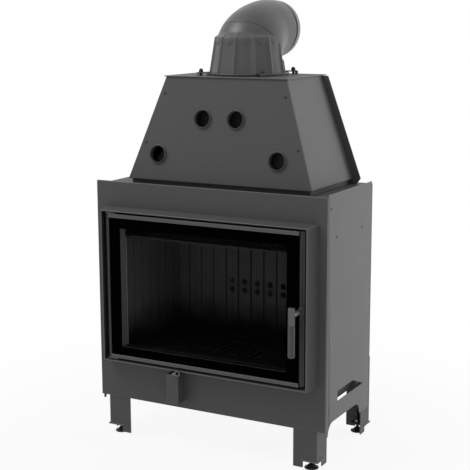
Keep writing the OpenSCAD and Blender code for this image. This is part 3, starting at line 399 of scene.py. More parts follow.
def plated(name, colour, roughness, grain_mm, stretch=(1, 1, 1)):
    """Bare or zinc plated steel: a bright metal with fine drawing lines along the sheet
    and a dull bloom in patches."""
    steel = bpy.data.materials.new(name)
    steel.use_nodes = True
    t = steel.node_tree
    t.nodes.clear()
    where = add(t, "ShaderNodeTexCoord").outputs["Object"]
    drawn = add(t, "ShaderNodeMapping", {"Vector": where, "Scale": stretch})
    lines = add(t, "ShaderNodeTexNoise", {"Vector": drawn.outputs[0],
                "Scale": 1 / (grain_mm * mm), "Detail": 3.0})
    bloom = add(t, "ShaderNodeTexNoise", {"Vector": where, "Scale": 1 / (30 * mm),
                "Detail": 4.0})
    tone = add(t, "ShaderNodeMix", {6: linear(colour, 0.85), 7: linear(colour, 1.12),
               0: bloom.outputs["Fac"]}, data_type="RGBA")
    streak = add(t, "ShaderNodeMix", {6: linear(colour, 0.8), 7: linear(colour, 1.15),
                 0: lines.outputs["Fac"]}, data_type="RGBA")
    mixed = add(t, "ShaderNodeMix", {0: 0.5, 6: tone.outputs[2], 7: streak.outputs[2]},
                data_type="RGBA")
    shine = add(t, "ShaderNodeMapRange", {"Value": bloom.outputs["Fac"],
                "To Min": roughness - 0.08, "To Max": roughness + 0.08})
    bump = add(t, "ShaderNodeBump", {"Strength": 0.25, "Distance": 0.04 * mm,
               "Height": lines.outputs["Fac"]})
    metal = add(t, "ShaderNodeBsdfPrincipled", {"Base Color": mixed.outputs[2],
                "Metallic": 1.0, "Roughness": shine.outputs[0],
                "Normal": bump.outputs[0]})
    add(t, "ShaderNodeOutputMaterial", {"Surface": metal.outputs[0]})
    return steel


foot_plastic = moulded("black_moulded_foot", "#161617", 0.45)
zinc = plated("zinc_plated_steel", "#8c8d90", 0.4, 1.0)


def thread(shape, place, radius, depth, pitch, low, high, steps=24, rows_a_turn=6):
    """Adds a threaded rod: rows of a turned bar whose radius follows the thread."""
    rows = []
    count = int((high - low) / pitch * rows_a_turn)
    for k in range(count + 1):
        z = low + (high - low) * k / count
        ease = min(1.0, (high - z) / pitch, (z - low) / pitch)
        row = []
        for i in range(steps):
            a = 2 * math.pi * i / steps
            wave = abs(((z / pitch - i / steps) % 1.0) * 2 - 1)
            r = (radius - depth * (1 - wave * ease)) * mm
            row.append(shape.verts.new(Vector(place) * mm + Vector(
                (r * math.cos(a), r * math.sin(a), z * mm))))
        rows.append(row)
    for lower, upper in zip(rows, rows[1:]):
        for i in range(steps):
            j = (i + 1) % steps
            shape.faces.new((lower[i], lower[j], upper[j], upper[i]))
    shape.faces.new(list(reversed(rows[0])))
    shape.faces.new(rows[-1])


def turned_corners(corner, face_radius, heights):
    """Chamfer rows of a hexagon nut, from its turned face: radius by angle, height."""
    hex_side, chamfer_slope = hexagon(corner), 1.73
    return [(lambda a, h=h: min(hex_side(a), face_radius + h * chamfer_slope), h)
            for h in heights]


foot_places = {"front_left": (-339, 28, "foot_fl"), "front_right": (339, 28, "foot_fr"),
               "rear_left": (-339, 381, "foot_rl"), "rear_right": (339, 381, "foot_rr")}
pad_radius, stud_radius, stud_low, stud_top = 21.5, 5.0, 10.2, 72.0
thread_deep, thread_pitch = 0.75, 1.5
nut_corner, nut_bore, nut_low, nut_high = 9.5, 5.3, 31.0, 39.0
chamfer = turned_corners(nut_corner, nut_corner * math.cos(math.pi / 6) * 0.97,
                         (0.0, 0.3, 0.6, 0.9))
nuts = bmesh.new()
for corner, (x, y, body) in foot_places.items():
    place = (x, y + front_y, 0)
    pad = bmesh.new()
    spun(pad, [(0, 0), (20.6, 0), (21.3, 0.4), (pad_radius, 1.1), (pad_radius, 2.9),
               (21.2, 3.6), (20.4, 4.0), (18.4, 4.1), (17.3, 4.4), (14.6, 6.6),
               (11.6, 9.8), (9.2, 12.4), (7.9, 13.4), (7.3, 13.9), (6.6, 14.0),
               (4.6, 14.0), (4.6, 10.0), (0, 10.0)], place)
    made("levelling_foot_" + corner, pad, [foot_plastic], body,
         ["foot_" + corner])
    stud = bmesh.new()
    thread(stud, place, stud_radius, thread_deep, thread_pitch, stud_low, stud_top)
    made("levelling_stud_" + corner, stud, [black_steel], body,
         sharp=70)
    spun(nuts, [(nut_bore, 0.0)] + chamfer
         + [(r, nut_high - nut_low - h) for r, h in reversed(chamfer)]
         + [(nut_bore, nut_high - nut_low)], (x, y + front_y, nut_low), steps=48,
         ring=True)
made("foot_plate_nuts", nuts, [zinc], "casing", ["foot_nuts"])

# ---------------------------------------------------------------- firebox
# A welded box of 4 mm plate with a front plate that the door closes on, and a hopper
# above it that leads the smoke to the flue. Heat has darkened the plate.
box_steel = sprayed("heat_darkened_plate", "#2c2c2d", 0.6, 3.0, 0.15, 60)
# the plate's folds get a lighter copy of its colour, a painted highlight
box_edge_highlight = sprayed("heat_darkened_plate_painted_edge_highlight", "#49494a", 0.45, 3.0, 0.1, 60)
for node in ("firebox_shell", "firebox_front_frame", "smoke_dome"):
    folded(node, box_steel, box_edge_highlight)
# near black: used on the frame ledges, and as painted shade on the air strip's front and in
# the elbow's groove
soot_and_shade = sprayed("soot_black_and_painted_shade", "#0a0a0a", 0.85, 3.0, 0.3, 40, 0.04)
# a light paint for the frame's left inner face, which faces the light: painted light
lit_reveal_paint = sprayed("frame_face_painted_light", "#c4c4c5", 0.5, 3.0, 0.1, 60, 0.2)


def coated(part, paint, chosen):
    """Paints the chosen faces of a part of the frame with another material; most uses
    paint light or shade on them.
    """
    part.data.materials.append(paint)
    for face in part.data.polygons:
        if chosen(face.normal, face.center / mm):
            face.material_index = len(part.data.materials) - 1


# the frame's lower ledge is painted near black; its left inner face, which faces the light,
# is painted light
coated(cad["firebox_front_frame"], soot_and_shade, lambda n, c: n.z > 0.7 and 290 < c.z < 310)
coated(cad["firebox_front_frame"], lit_reveal_paint,
       lambda n, c: n.x > 0.7 and -300 < c.x < -288)

# ---------------------------------------------------------------- air strip
# Behind the top of the glass a folded steel strip turns the wash air down over it. Smoke
# has dulled the steel; its front is painted near black as shade, and its lip and folds are
# painted lighter as highlights.
strip_steel = plated("smoked_steel_strip", "#4a4b4d", 0.45, 1.2, (0.02, 1, 1))
strip_edge_highlight = plated("smoked_steel_painted_edge_highlight", "#8a8b8d", 0.35, 1.2, (0.02, 1, 1))
wash_strip = folded("air_deflector", strip_steel, strip_edge_highlight, 0.4)
lip_highlight = plated("steel_lip_painted_highlight", "#b4b5b7", 0.4, 1.2, (0.02, 1, 1))
# the front painted near black as shade, the lip painted light as a highlight
coated(wash_strip, soot_and_shade, lambda n, c: n.y < -0.9)
coated(wash_strip, lip_highlight, lambda n, c: n.z > 0.5 and n.y < -0.3)

# ---------------------------------------------------------------- lining
# Upright boards of pressed dark ceramic, 47 mm wide, with a fine vertical rib from the
# press. Soot has blackened them towards the fire bed.


def pressed_board(name, colour, soot_low, soot_top):
    """Pressed ceramic board: dull grey, upright press lines, pale grit, black soot that
    grows towards the fire bed."""
    board = bpy.data.materials.new(name)
    board.use_nodes = True
    t = board.node_tree
    t.nodes.clear()
    where = add(t, "ShaderNodeTexCoord").outputs["Object"]
    # press lines 6 mm apart, drawn out over the board's whole height
    upright = add(t, "ShaderNodeMapping", {"Vector": where, "Scale": (1, 1, 0.012)})
    lines = add(t, "ShaderNodeTexNoise", {"Vector": upright.outputs[0],
                "Scale": 1 / (6 * mm), "Detail": 2.0})
    grit = add(t, "ShaderNodeTexVoronoi", {"Vector": where, "Scale": 1 / (3.5 * mm)})
    patch = add(t, "ShaderNodeTexNoise", {"Vector": where, "Scale": 1 / (70 * mm),
                "Detail": 4.0})
    tone = add(t, "ShaderNodeMix", {6: linear(colour, 0.7), 7: linear(colour, 1.3),
               0: lines.outputs["Fac"]}, data_type="RGBA")
    speck = add(t, "ShaderNodeMapRange", {"Value": grit.outputs["Distance"],
                "From Min": 0.1, "From Max": 0.3, "To Min": 0.25, "To Max": 0.0})
    gritty = add(t, "ShaderNodeMix", {0: speck.outputs[0], 6: tone.outputs[2],
                 7: linear(colour, 2.2)}, data_type="RGBA")
    high = add(t, "ShaderNodeSeparateXYZ", {0: where})
    drift = add(t, "ShaderNodeMath", {0: patch.outputs["Fac"], 1: 0.05,
                2: high.outputs["Z"]}, operation="MULTIPLY_ADD")
    clean = add(t, "ShaderNodeMapRange", {"Value": drift.outputs[0],
                "From Min": soot_low * mm + 0.025, "From Max": soot_top * mm + 0.025},
                interpolation_type="SMOOTHSTEP")
    sooty = add(t, "ShaderNodeMix", {0: clean.outputs[0], 6: linear("#050505"),
                7: gritty.outputs[2]}, data_type="RGBA")
    relief = add(t, "ShaderNodeMath", {0: lines.outputs["Fac"], 1: 0.6,
                 2: speck.outputs[0]}, operation="MULTIPLY_ADD")
    bump = add(t, "ShaderNodeBump", {"Strength": 0.6, "Distance": 0.5 * mm,
               "Height": relief.outputs[0]})
    dull = add(t, "ShaderNodeMapRange", {"Value": patch.outputs["Fac"],
               "To Min": 0.8, "To Max": 0.95})
    face = add(t, "ShaderNodeBsdfPrincipled", {"Base Color": sooty.outputs[2],
               "Roughness": dull.outputs[0], "Normal": bump.outputs[0],
               "Specular IOR Level": 0.04})
    add(t, "ShaderNodeOutputMaterial", {"Surface": face.outputs[0]})
    return board


lining_board = pressed_board("pressed_ceramic_lining", "#5a5a5b", 300, 440)
lining_edge = pressed_board("soot_in_the_lining_joints", "#101010", 300, 430)
for node in ("lining_left", "lining_right", "lining_back", "baffle"):
    folded(node, lining_board, lining_edge, 0.8)
sooty_floor = pressed_board("sooty_floor_lining", "#0c0c0c", 280, 420)
folded("lining_floor", sooty_floor, sooty_floor, 0.8)

# ---------------------------------------------------------------- grate and ash pan
# A loose cast iron grate lies in the floor; the ash pan under it is folded from thin
# zinc plated sheet.
fire_iron = sprayed("scaled_cast_iron_grate", "#080808", 0.75, 2.4, 0.3, 25, 0.05)
# its edges are a shade lighter, a painted highlight
fire_edge_highlight = sprayed("scaled_cast_iron_painted_edge_highlight", "#0d0d0d", 0.6, 2.4, 0.3, 25, 0.05)
folded("grate", fire_iron, fire_edge_highlight, 1.6, 3)
folded("ash_pan", zinc, zinc, 0.4)

# ---------------------------------------------------------------- air control
# A lever in front slides a damper plate over the air box's inlet. Its bar runs in a
# folded cover and ends in a ring that hangs over the cover's top.
folded("air_box", stove_paint, fold_highlight_paint)
folded("lever_cover", stove_paint, fold_highlight_paint, 0.7)
lever_steel = plated("drawn_steel", "#5e5f61", 0.45, 1.0, (1, 1, 0.05))
# the edges are painted lighter, a painted highlight
lever_edge_highlight = plated("drawn_steel_painted_edge_highlight", "#757678", 0.4, 1.0, (1, 1, 0.05))
folded("air_lever", lever_steel, lever_edge_highlight, 0.7)
folded("air_damper", zinc, zinc, 0.4)

# ---------------------------------------------------------------- hood
# A pyramid of sloped sheets on a low frame whose recessed front is painted dark as shade,
# with a wider upright plate at the rear and a flat top. Four short collars are welded into
# its front for warm air pipes.
for node in ("hood_front_panel", "hood_rear_panel", "hood_top_plate"):
    folded(node, stove_paint, fold_highlight_paint)
# the hood's sides take the lighter side paint, painted light
for node in ("hood_side_left", "hood_side_right"):
    folded(node, lit_side_paint, fold_highlight_paint)
shadow_paint = sprayed("stove_paint_painted_shade_in_the_gap", "#2a2a2b", 0.6, 1.6, 0.06)
frame_under = folded("hood_base_frame", shadow_paint, stove_paint)
for face in frame_under.data.polygons:
    # the recessed front keeps the dark paint, a painted shade; the sides get the stove
    # paint
    if abs(face.normal.x) > 0.7:
        face.material_index = 1

collars = bmesh.new()
for share in ((-0.207, 0.606), (0.154, 0.610), (-0.679, 0.246), (0.626, 0.246)):
    spun(collars, [(26.0, -9.0), (29.0, -9.0), (29.0, 4.6), (28.7, 5.8), (28.0, 6.6),
                   (27.2, 6.95), (26.5, 6.8), (26.1, 6.2), (26.0, 5.4)],
         on_hood(*share), hood_out, 72, ring=True)
    # weld bead around the collar's foot
    spun(collars, [(28.9, 0.0), (31.0, 0.0), (30.6, 0.7), (29.9, 1.2), (28.9, 1.5)],
         on_hood(*share), hood_out, 72, ring=True)
made("hood_collars", collars, [stove_paint], "casing",
     ["hood_port_collars"])

# ---------------------------------------------------------------- flue seat
# The spigot's ring plate lies on the hood and carries the lower casting. Four clamps,
# each drawn down by a cap nut on its stud, hold the casting's foot.
folded("flue_spigot", stove_paint, fold_highlight_paint, 0.8)
flue_y, hood_top = 264.0, 1146.0
clamp_circle, clamp_top = 150.0, 10.8
cap_corner, cap_face, cap_hex = 7.6, 6.336, 6.0
chamfer = turned_corners(cap_corner, cap_face, (0.0, 0.35, 0.7))
cap_nuts = bmesh.new()
for angle in (45, 135, 225, 315):
    a = math.radians(angle)
    place = (clamp_circle * math.cos(a), flue_y + front_y + clamp_circle * math.sin(a),
             hood_top)
    spun(cap_nuts, [(0, 0.02), (4.0, 0.02), (4.0, clamp_top - 0.02)]
         + [(r, clamp_top + h) for r, h in chamfer]
         + [(r, clamp_top + cap_hex - h) for r, h in reversed(chamfer)]
         + [(r, clamp_top + h) for r, h in ((5.7, 6.0), (5.3, 7.7), (4.5, 9.2),
                                            (3.2, 10.4), (1.6, 11.1), (0, 11.3))],
         place, steps=48)
made("clamp_cap_nuts", cap_nuts, [black_steel], "casing",
     ["flue_clamp_studs"])

# ---------------------------------------------------------------- flue castings
# Two sand castings: a ribbed drum with a domed shoulder and an elbow that turns on it.
# All their edges are rounded in the mould, and the paint is a little glossier.
cast_paint = sprayed("painted_sand_casting", "#474748", 0.36, 2.2, 0.14, 50, 0.5)


def cast(node, paint, grid, rounds):
    """Gives a casting of the frame its moulded roundings: a fine grid over its form,
    smoothed."""
    part = cad[node]
    for place in part.material_slots:
        place.material = paint
    skin = part.modifiers.new("mould_skin", "REMESH")
    skin.mode, skin.voxel_size, skin.use_smooth_shade = "VOXEL", grid * mm, True
    soft = part.modifiers.new("mould_roundings", "SMOOTH")
    soft.factor, soft.iterations = 0.5, rounds


cast("flue_clamps", cast_paint, 1.0, 3)

# lower casting: a fluted drum with twelve ribs that run over its shoulder into the round
# joint, cut along the slanted joint plane, on a flat foot
joint_y, joint_z, wide_radius = 282.0, 1238.0, 104.0
foot_low, foot_high, foot_radius, drum_radius = 1150.3, 1153.0, 130.0, 117.0
shoulder_radius, shoulder_z, drum_bore, joint_bore = 99.0, 1262.0, 93.4, 84.0
rib_gap, rib_first, rib_wide, rib_out, rib_fade = 30, 7, 3.4, 3.9, 26.0
flute_deep, flute_side, flute_end, flute_run, flute_arch = 3.2, 8.0, 6.0, 12.0, 0.015
shoulder_fall, fillet, joint_chamfer, joint_clear = 1.5, 9.0, 1.2, 0.2
drum_inside, drum_outside, halvings = 60.0, 150.0, 16
around, upward, slant = 360, 64, math.sqrt(0.5)


def drum_edge(a, z):
    """Radius of the drum by angle and height, with its ribs and flutes."""
    up = (z - foot_low) / (shoulder_z - foot_low)
    above = max(z - shoulder_z, 0.0)
    r = drum_radius + (shoulder_radius - drum_radius) * min(up, 1.0)
    r -= shoulder_fall * above
    off = abs((math.degrees(a) - rib_first + rib_gap / 2) % rib_gap - rib_gap / 2)
    arc = math.radians(off) * r
    rib = rib_out * math.exp(-(arc / rib_wide) ** 2) * max(0.0, 1 - above / rib_fade)
    under = (shoulder_z - flute_end - flute_arch * arc * arc - z) / flute_run
    under = min(max(under, 0.0), 1.0)
    flute = flute_deep * (1 - math.exp(-(arc / flute_side) ** 2))
    return r + rib - flute * under * under * (3 - 2 * under)


def beyond(x, y, z):
    """How far a point lies outside the drum and the ball, blended with a fillet."""
    drum = math.hypot(x, y - flue_y) - drum_edge(math.atan2(y - flue_y, x), z)
    ball = math.sqrt(x * x + (y - joint_y) ** 2 + (z - joint_z) ** 2) - wide_radius
    share = min(max(0.5 + 0.5 * (ball - drum) / fillet, 0.0), 1.0)
    return ball + (drum - ball) * share - fillet * share * (1 - share)


drum = bmesh.new()
rows = []
for k in range(upward + 1):
    # the rows' middle climbs from the foot to the joint, and the rows tip with it
    tip = k / upward
    hub_y = flue_y + (joint_y - flue_y) * tip
    hub_z = foot_low + (joint_z - foot_low) * tip
    row = []
    for i in range(around):
        a = 2 * math.pi * i / around
        way = Vector((math.cos(a), math.sin(a) * (1 - tip + slant * tip),
                      -slant * math.sin(a) * tip))
        way.normalize()
        near, far = drum_inside, drum_outside
        for _ in range(halvings):
            reach = (near + far) / 2
            if beyond(way.x * reach, hub_y + way.y * reach, hub_z + way.z * reach) > 0:
                far = reach
            else:
                near = reach
        depth_left = (joint_y - hub_y + joint_z - hub_z) * slant
        climb = (way.y + way.z) * slant
        if k < upward and climb > 1e-6:
            near = min(near, depth_left / climb)
        if k == upward:
            near -= joint_chamfer
        row.append((way.x * near, hub_y + way.y * near, hub_z + way.z * near))
    rows.append(row)
angles = [2 * math.pi * i / around for i in range(around)]
rows.append([(joint_bore * math.cos(a), joint_y + joint_bore * slant * math.sin(a),
              joint_z - joint_bore * slant * math.sin(a)) for a in angles])
rows.append([(drum_bore * math.cos(a), flue_y + drum_bore * math.sin(a), foot_low)
             for a in angles])
rows = [[drum.verts.new((x * mm, (y + front_y) * mm, z * mm)) for x, y, z in row]
        for row in rows]
for lower, upper in zip(rows, rows[1:] + rows[:1]):
    for i in range(around):
        j = (i + 1) % around
        drum.faces.new((lower[i], lower[j], upper[j], upper[i]))


def foot_edge(radius, z):
    """Radius of the foot by angle: round, and cut at the rear along the joint plane."""
    cut = joint_y + joint_z - z - flue_y - joint_clear
    return lambda a: min(radius, cut / math.sin(a)) if math.sin(a) > 0.1 else radius


spun(drum, [(foot_edge(radius, z), z) for radius, z in (
    (100.0, foot_low), (foot_radius, foot_low), (foot_radius, foot_high - 0.6),
    (foot_radius - 0.6, foot_high), (100.0, foot_high))],
     (0, flue_y + front_y, 0), steps=180, ring=True)
made("flue_drum_casting", drum, [cast_paint], "flue_base",
     ["flue_lower_casting"])

# elbow: swept along its bend, wide at the joint and narrowing to the pipe, with a groove
# before the outlet; inside it is open and has a seat for the lower casting's lip
bend_radius, neck_end, pipe_radius, ease_length = 157.0, 436.0, 92.0, 100.0
bore_radius, seat_radius, rim_round = 85.0, 90.4, 1.2
groove_back, groove_deep, bend_steps = 12.0, 4.5, 128
bend_length = bend_radius * math.pi / 4
hub = (joint_y + bend_radius * math.sin(math.pi / 4),
       joint_z - bend_radius * math.cos(math.pi / 4))
whole = bend_length + neck_end - hub[0]


def outer_radius(s):
    """Radius of the elbow along its run: wide at the joint, where its rim is rounded."""
    ease = (1 + math.cos(math.pi * min(s, ease_length) / ease_length)) / 2
    rim = rim_round - math.sqrt(rim_round ** 2 - (rim_round - min(s, rim_round)) ** 2)
    return pipe_radius + (wide_radius - pipe_radius) * ease - rim


bend = bmesh.new()
rows = []
run = [(0.15 + 0.35 * k, outer_radius(0.35 * k)) for k in range(4)]
run += [(s, outer_radius(s)) for s in (4 + 3 * k for k in range(int((whole - 18) / 3)))]
groove_from = whole - groove_back
run += [(groove_from - 0.6, pipe_radius), (groove_from, pipe_radius - 0.6),
        (groove_from, pipe_radius - groove_deep),
        (whole - 0.1, pipe_radius - groove_deep), (whole - 0.1, bore_radius)]
run += [(s, bore_radius) for s in (whole - 6 * k for k in range(1, int((whole - 16) / 6)))]
run += [(14.0, seat_radius), (0.15, seat_radius)]
for s, r in run:
    a = min(s, bend_length) / bend_radius - math.pi / 4
    out = Vector((0, math.sin(a), math.cos(a)))
    spot = Vector((0, hub[0] + front_y, hub[1])) + out * bend_radius
    spot.y += max(0.0, s - bend_length)
    rows.append([bend.verts.new((spot + (Vector((1, 0, 0)) * math.cos(b)
                                         + out * math.sin(b)) * r) * mm)
                 for b in (2 * math.pi * i / bend_steps
                           for i in range(bend_steps))])
# the groove's faces before the outlet are painted near black, a painted shade in the groove
for row_at, (lower, upper) in enumerate(zip(rows, rows[1:] + rows[:1])):
    in_groove = groove_from - 0.1 < run[row_at][0] and run[row_at][1] > bore_radius
    for i in range(bend_steps):
        j = (i + 1) % bend_steps
        face = bend.faces.new((lower[i], lower[j], upper[j], upper[i]))
        face.material_index = 1 if in_groove else 0
made("flue_elbow_casting", bend, [cast_paint, soot_and_shade], "flue_top",
     ["flue_elbow"])

# outlet collar: turned, with a rolled lip where the pipe slides on
collar_paint = sprayed("outlet_collar_paint", "#727273", 0.45, 1.6, 0.05, 50, 0.4)
outlet_z, collar_y = 1284.0, 436.0
collar = bmesh.new()
spun(collar, [(85.0, 0.0), (89.2, 0.0), (90.0, 0.8), (90.0, 17.2), (89.7, 18.6),
              (88.9, 19.6), (87.8, 20.0), (86.2, 19.9), (85.3, 19.2), (85.0, 18.0)],
     (0, collar_y + front_y, outlet_z), (0, 1, 0), 128, ring=True)
made("outlet_collar", collar, [collar_paint], "flue_top",
     ["flue_outlet_collar"])

# ---------------------------------------------------------------- door
# A folded steel frame carries a ceramic glass pane with a black printed border. Steel
# strips clip over the glass above and below; a rope seal closes against the firebox.
door_paint = sprayed("door_frame_paint", "#39393a", 0.55, 1.6, 0.06)
# the frame's folds are painted lighter, a painted highlight
door_edge_highlight = sprayed("door_paint_painted_fold_highlight", "#626264", 0.42, 1.6, 0.04)
door_sheet = folded("door_frame", door_paint, door_edge_highlight, 0.8)
# the frame's lower ledge is painted near black, and its left inner face, which faces the
# light, is painted lighter: painted light
coated(door_sheet, soot_and_shade, lambda n, c: n.z > 0.7 and 300 < c.z < 312)
coated(door_sheet, fold_highlight_paint, lambda n, c: n.x > 0.7 and -292 < c.x < -282)
dull_steel = plated("dull_rolled_steel", "#535456", 0.5, 1.2, (0.02, 1, 1))
# the strips' folds are painted lighter, a painted highlight
dull_edge_highlight = plated("dull_rolled_steel_painted_edge_highlight", "#7c7d7f", 0.42, 1.2, (0.02, 1, 1))
folded("glass_top_strip", dull_steel, dull_edge_highlight, 0.5)
folded("glass_bottom_strip", dull_steel, dull_edge_highlight, 0.5)
folded("hinge_brackets", stove_paint, fold_highlight_paint, 0.6)
folded("hinge_pins", zinc, zinc, 0.5)
folded("latch_keeper", zinc, zinc, 0.5)

print_black = bpy.data.materials.new("black_ceramic_print")
print_black.use_nodes = True
t = print_black.node_tree
t.nodes.clear()
where = add(t, "ShaderNodeTexCoord").outputs["Object"]
# the print's screen leaves a faint 2 mm mottle
screen = add(t, "ShaderNodeTexNoise", {"Vector": where, "Scale": 1 / (2 * mm)})
ink = add(t, "ShaderNodeMix", {0: screen.outputs["Fac"], 6: linear("#010101"),
          7: linear("#040404")}, data_type="RGBA")
gloss = add(t, "ShaderNodeMapRange", {"Value": screen.outputs["Fac"], "To Min": 0.04,
            "To Max": 0.07})
face = add(t, "ShaderNodeBsdfPrincipled", {"Base Color": ink.outputs[2],
           "Roughness": gloss.outputs[0], "IOR": 1.5, "Specular IOR Level": 0.0})
add(t, "ShaderNodeOutputMaterial", {"Surface": face.outputs[0]})

ceramic_glass = bpy.data.materials.new("ceramic_glass")
ceramic_glass.use_nodes = True
t = ceramic_glass.node_tree
t.nodes.clear()
where = add(t, "ShaderNodeTexCoord").outputs["Object"]
# a breath of smoke film on the inside, in drifts 120 mm wide
film = add(t, "ShaderNodeTexNoise", {"Vector": where, "Scale": 1 / (120 * mm),
           "Detail": 3.0})
haze = add(t, "ShaderNodeMapRange", {"Value": film.outputs["Fac"], "To Min": 0.04,
           "To Max": 0.09})
face = add(t, "ShaderNodeBsdfPrincipled", {"Base Color": linear("#0c0b0a"),
           "Roughness": 0.03, "IOR": 1.5, "Specular IOR Level": 0.06,
           "Alpha": haze.outputs[0]})
add(t, "ShaderNodeOutputMaterial", {"Surface": face.outputs[0]})

low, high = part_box("door_glass")
window_half, window_low, window_high = 287 * mm, 307 * mm, 684.5 * mm
pane = bmesh.new()
cuts_x = (low.x, -window_half, window_half, high.x)
cuts_z = (low.z, window_low, window_high, high.z)
sheets = []
for y in (low.y, high.y):
    grid = [[pane.verts.new((x, y, z)) for x in cuts_x] for z in cuts_z]
    for i in range(3):
        for j in range(3):
            face = pane.faces.new((grid[i][j], grid[i][j + 1], grid[i + 1][j + 1],
                                   grid[i + 1][j]))
            face.material_index = 1 if i == j == 1 else 0
    sheets.append(grid[0] + [row[-1] for row in grid[1:]] + grid[-1][-2::-1]
                  + [row[0] for row in grid[-2:0:-1]])
for i in range(len(sheets[0])):
    j = (i + 1) % len(sheets[0])
    pane.faces.new((sheets[0][i], sheets[0][j], sheets[1][j], sheets[1][i]))
glass = made("glass_pane", pane, [print_black, ceramic_glass], "door",
             ["door_glass"])
ground = glass.modifiers.new("ground_edge", "BEVEL")
ground.width, ground.segments, ground.limit_method = 0.7 * mm, 2, "ANGLE"


def loop(shape, half_wide, low_z, high_z, corner, y, step, outline):
    """Adds a closed seal that runs round the door: its outline of (out, along y) in mm
    by the running length, swept round a rectangle with round corners."""
    path = []
    for cx, cz, start in ((half_wide - corner, high_z - corner, 0),
                          (-half_wide + corner, high_z - corner, 90),
                          (-half_wide + corner, low_z + corner, 180),
                          (half_wide - corner, low_z + corner, 270)):
        for k in range(9):
            a = math.radians(start + k * 90 / 8)
            path.append((Vector((cx + corner * math.cos(a), cz + corner * math.sin(a))),
                         Vector((math.cos(a), math.sin(a)))))
    points, run = [], 0.0
    for (p, n), (q, m) in zip(path, path[1:] + path[:1]):
        span = (q - p).length
        count = max(1, round(span / step))
        for k in range(count):
            points.append((p.lerp(q, k / count), n.lerp(m, k / count).normalized(),
                           run + span * k / count))
        run += span
    rows = []
    for p, n, s in points:
        rows.append([shape.verts.new(Vector((p.x + n.x * out, y + deep, p.y + n.y * out))
                                     * mm) for out, deep in outline(s, run)])
    for a, b in zip(rows, rows[1:] + rows[:1]):
        for i in range(len(a)):
            j = (i + 1) % len(a)
            shape.faces.new((a[i], a[j], b[j], b[i]))


# rope seal: braided glass fibre, 11 mm thick, glued in behind the frame
seal_corner, rope_y, rope_radius, strand_out, strands, lay_mm = 14, -2.5, 5.0, 0.42, 4, 14.0


def braid(s, run):
    """Outline of the rope where it has run so far: strands crossing both ways."""
    lay = run / round(run / lay_mm)
    points = []
    for i in range(16):
        a = 2 * math.pi * i / 16
        over = math.cos(strands * (a + 2 * math.pi * s / (strands * lay)))
        under = math.cos(strands * (a - 2 * math.pi * s / (strands * lay)))
        r = rope_radius + strand_out * max(over, under)
        points.append((r * math.cos(a), r * math.sin(a)))
    return points


rope_fibre = bpy.data.materials.new("braided_glass_fibre_rope")
rope_fibre.use_nodes = True
t = rope_fibre.node_tree
t.nodes.clear()
where = add(t, "ShaderNodeTexCoord").outputs["Object"]
# yarn 1.1 mm thick, and smoke stains about 45 mm wide
yarn = add(t, "ShaderNodeTexNoise", {"Vector": where, "Scale": 1 / (1.1 * mm),
           "Detail": 4.0})
smoked = add(t, "ShaderNodeTexNoise", {"Vector": where, "Scale": 1 / (45 * mm),
             "Detail": 3.0})
tone = add(t, "ShaderNodeMix", {0: yarn.outputs["Fac"], 6: linear("#2e2d2b"),
           7: linear("#5a5855")}, data_type="RGBA")
dark = add(t, "ShaderNodeMix", {0: smoked.outputs["Fac"], 6: tone.outputs[2],
           7: linear("#1d1c1b")}, data_type="RGBA")
bump = add(t, "ShaderNodeBump", {"Strength": 0.8, "Distance": 0.3 * mm,
           "Height": yarn.outputs["Fac"]})
face = add(t, "ShaderNodeBsdfPrincipled", {"Base Color": dark.outputs[2],
           "Roughness": 0.9, "Normal": bump.outputs[0], "Sheen Weight": 0.2})
add(t, "ShaderNodeOutputMaterial", {"Surface": face.outputs[0]})

seal_half, seal_low, seal_high = 300.5, 293.5, 698.0
rope = bmesh.new()
loop(rope, seal_half, seal_low, seal_high, seal_corner, rope_y + front_y, 1.75, braid)
made("door_rope_seal", rope, [rope_fibre], "door", ["door_gasket"], 80)


# flat tape seal between the glass and the frame, woven, 24 mm wide and 1 mm thick
tape_middle, tape_low, tape_high, tape_y = 309.5, 290, 706.5, -36.5
tape_half, weave_deep, weave_mm = 12, 0.06, 3.0


def tape(s, run):
    """Outline of the tape where it has run so far, with its weave as a low wave."""
    wave = weave_deep * math.cos(2 * math.pi * s / weave_mm)
    top = [(tape_half - 2 * tape_half * i / 8, -0.5 + wave * (0 < i < 8) + weave_deep)
           for i in range(9)]
    return top + [(-tape_half, 0.45), (tape_half, 0.45)]


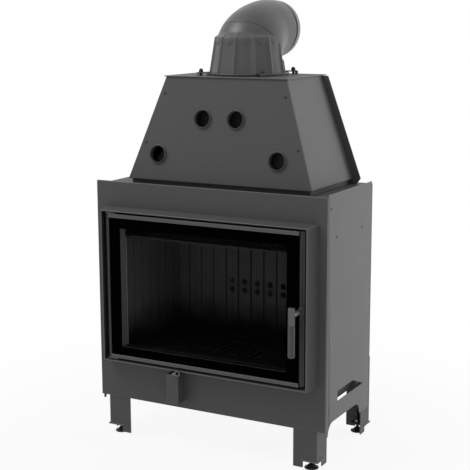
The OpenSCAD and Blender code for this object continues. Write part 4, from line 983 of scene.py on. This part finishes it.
flat = bmesh.new()
loop(flat, tape_middle, tape_low, tape_high, seal_corner, tape_y + front_y, 3.0, tape)
made("glass_tape_seal", flat, [rope_fibre], "door", ["glass_gasket"], 50)

# ---------------------------------------------------------------- handle
# A shaft through the door frame turns the latch cam. Its arm of drawn steel carries a
# turned satin sleeve and, below that, a steel tube with a dark satin coat as the grip.
shaft_x, grip_y, grip_low, sleeve_low = 331.0, -99.5 + front_y, 373.5, 467.0
folded("handle_rosette", stove_paint, fold_highlight_paint, 0.5)
arm_steel = plated("drawn_steel_arm", "#8e8f91", 0.42, 1.0, (1, 0.05, 1))
# its edges take the lever's lighter edge paint, a painted highlight
folded("handle_shaft", arm_steel, lever_edge_highlight, 0.5)
folded("latch_cam", zinc, zinc, 0.5)

grip_coat = sprayed("satin_grip_coat", "#3a3a3b", 0.4, 1.2, 0.04, 40, 0.5)
satin_steel = plated("satin_turned_steel", "#5b5c5e", 0.4, 0.9, (1, 1, 4))


grip_radius, seam_radius, seam_at, seam_half = 10.5, 9.6, math.radians(322), 0.03


def seamed(a):
    """Radius of the grip by angle: its coated tube has a narrow seam along the front."""
    off = abs((a - seam_at + math.pi) % (2 * math.pi) - math.pi)
    return seam_radius if off < seam_half else grip_radius


grip = bmesh.new()
spun(grip, [(0, 0), (7.8, 0), (9.0, 0.4), (9.9, 1.3), (10.4, 2.6), (grip_radius, 4.4),
            (seamed, 5.0), (seamed, 90.4), (grip_radius, 91.1), (10.2, 91.9), (9.5, 92.5),
            (9.1, 93.4), (0, 93.4)],
     (shaft_x, grip_y, grip_low), steps=120)
made("handle_grip_coated", grip, [grip_coat], "handle", ["handle_grip"])
sleeve = bmesh.new()
spun(sleeve, [(0, 0.1), (9.1, 0.1), (9.8, 0.5), (10.4, 1.2), (10.5, 2.4),
              (10.5, 50.1), (10.3, 51.5), (9.6, 52.7), (8.5, 53.4), (6.9, 53.5),
              (2.4, 53.5), (2.2, 53.1), (2.2, 50.5), (0, 50.1)],
     (shaft_x, grip_y, sleeve_low), steps=64)
made("handle_sleeve_turned", sleeve, [satin_steel], "handle",
     ["handle_sleeve"])
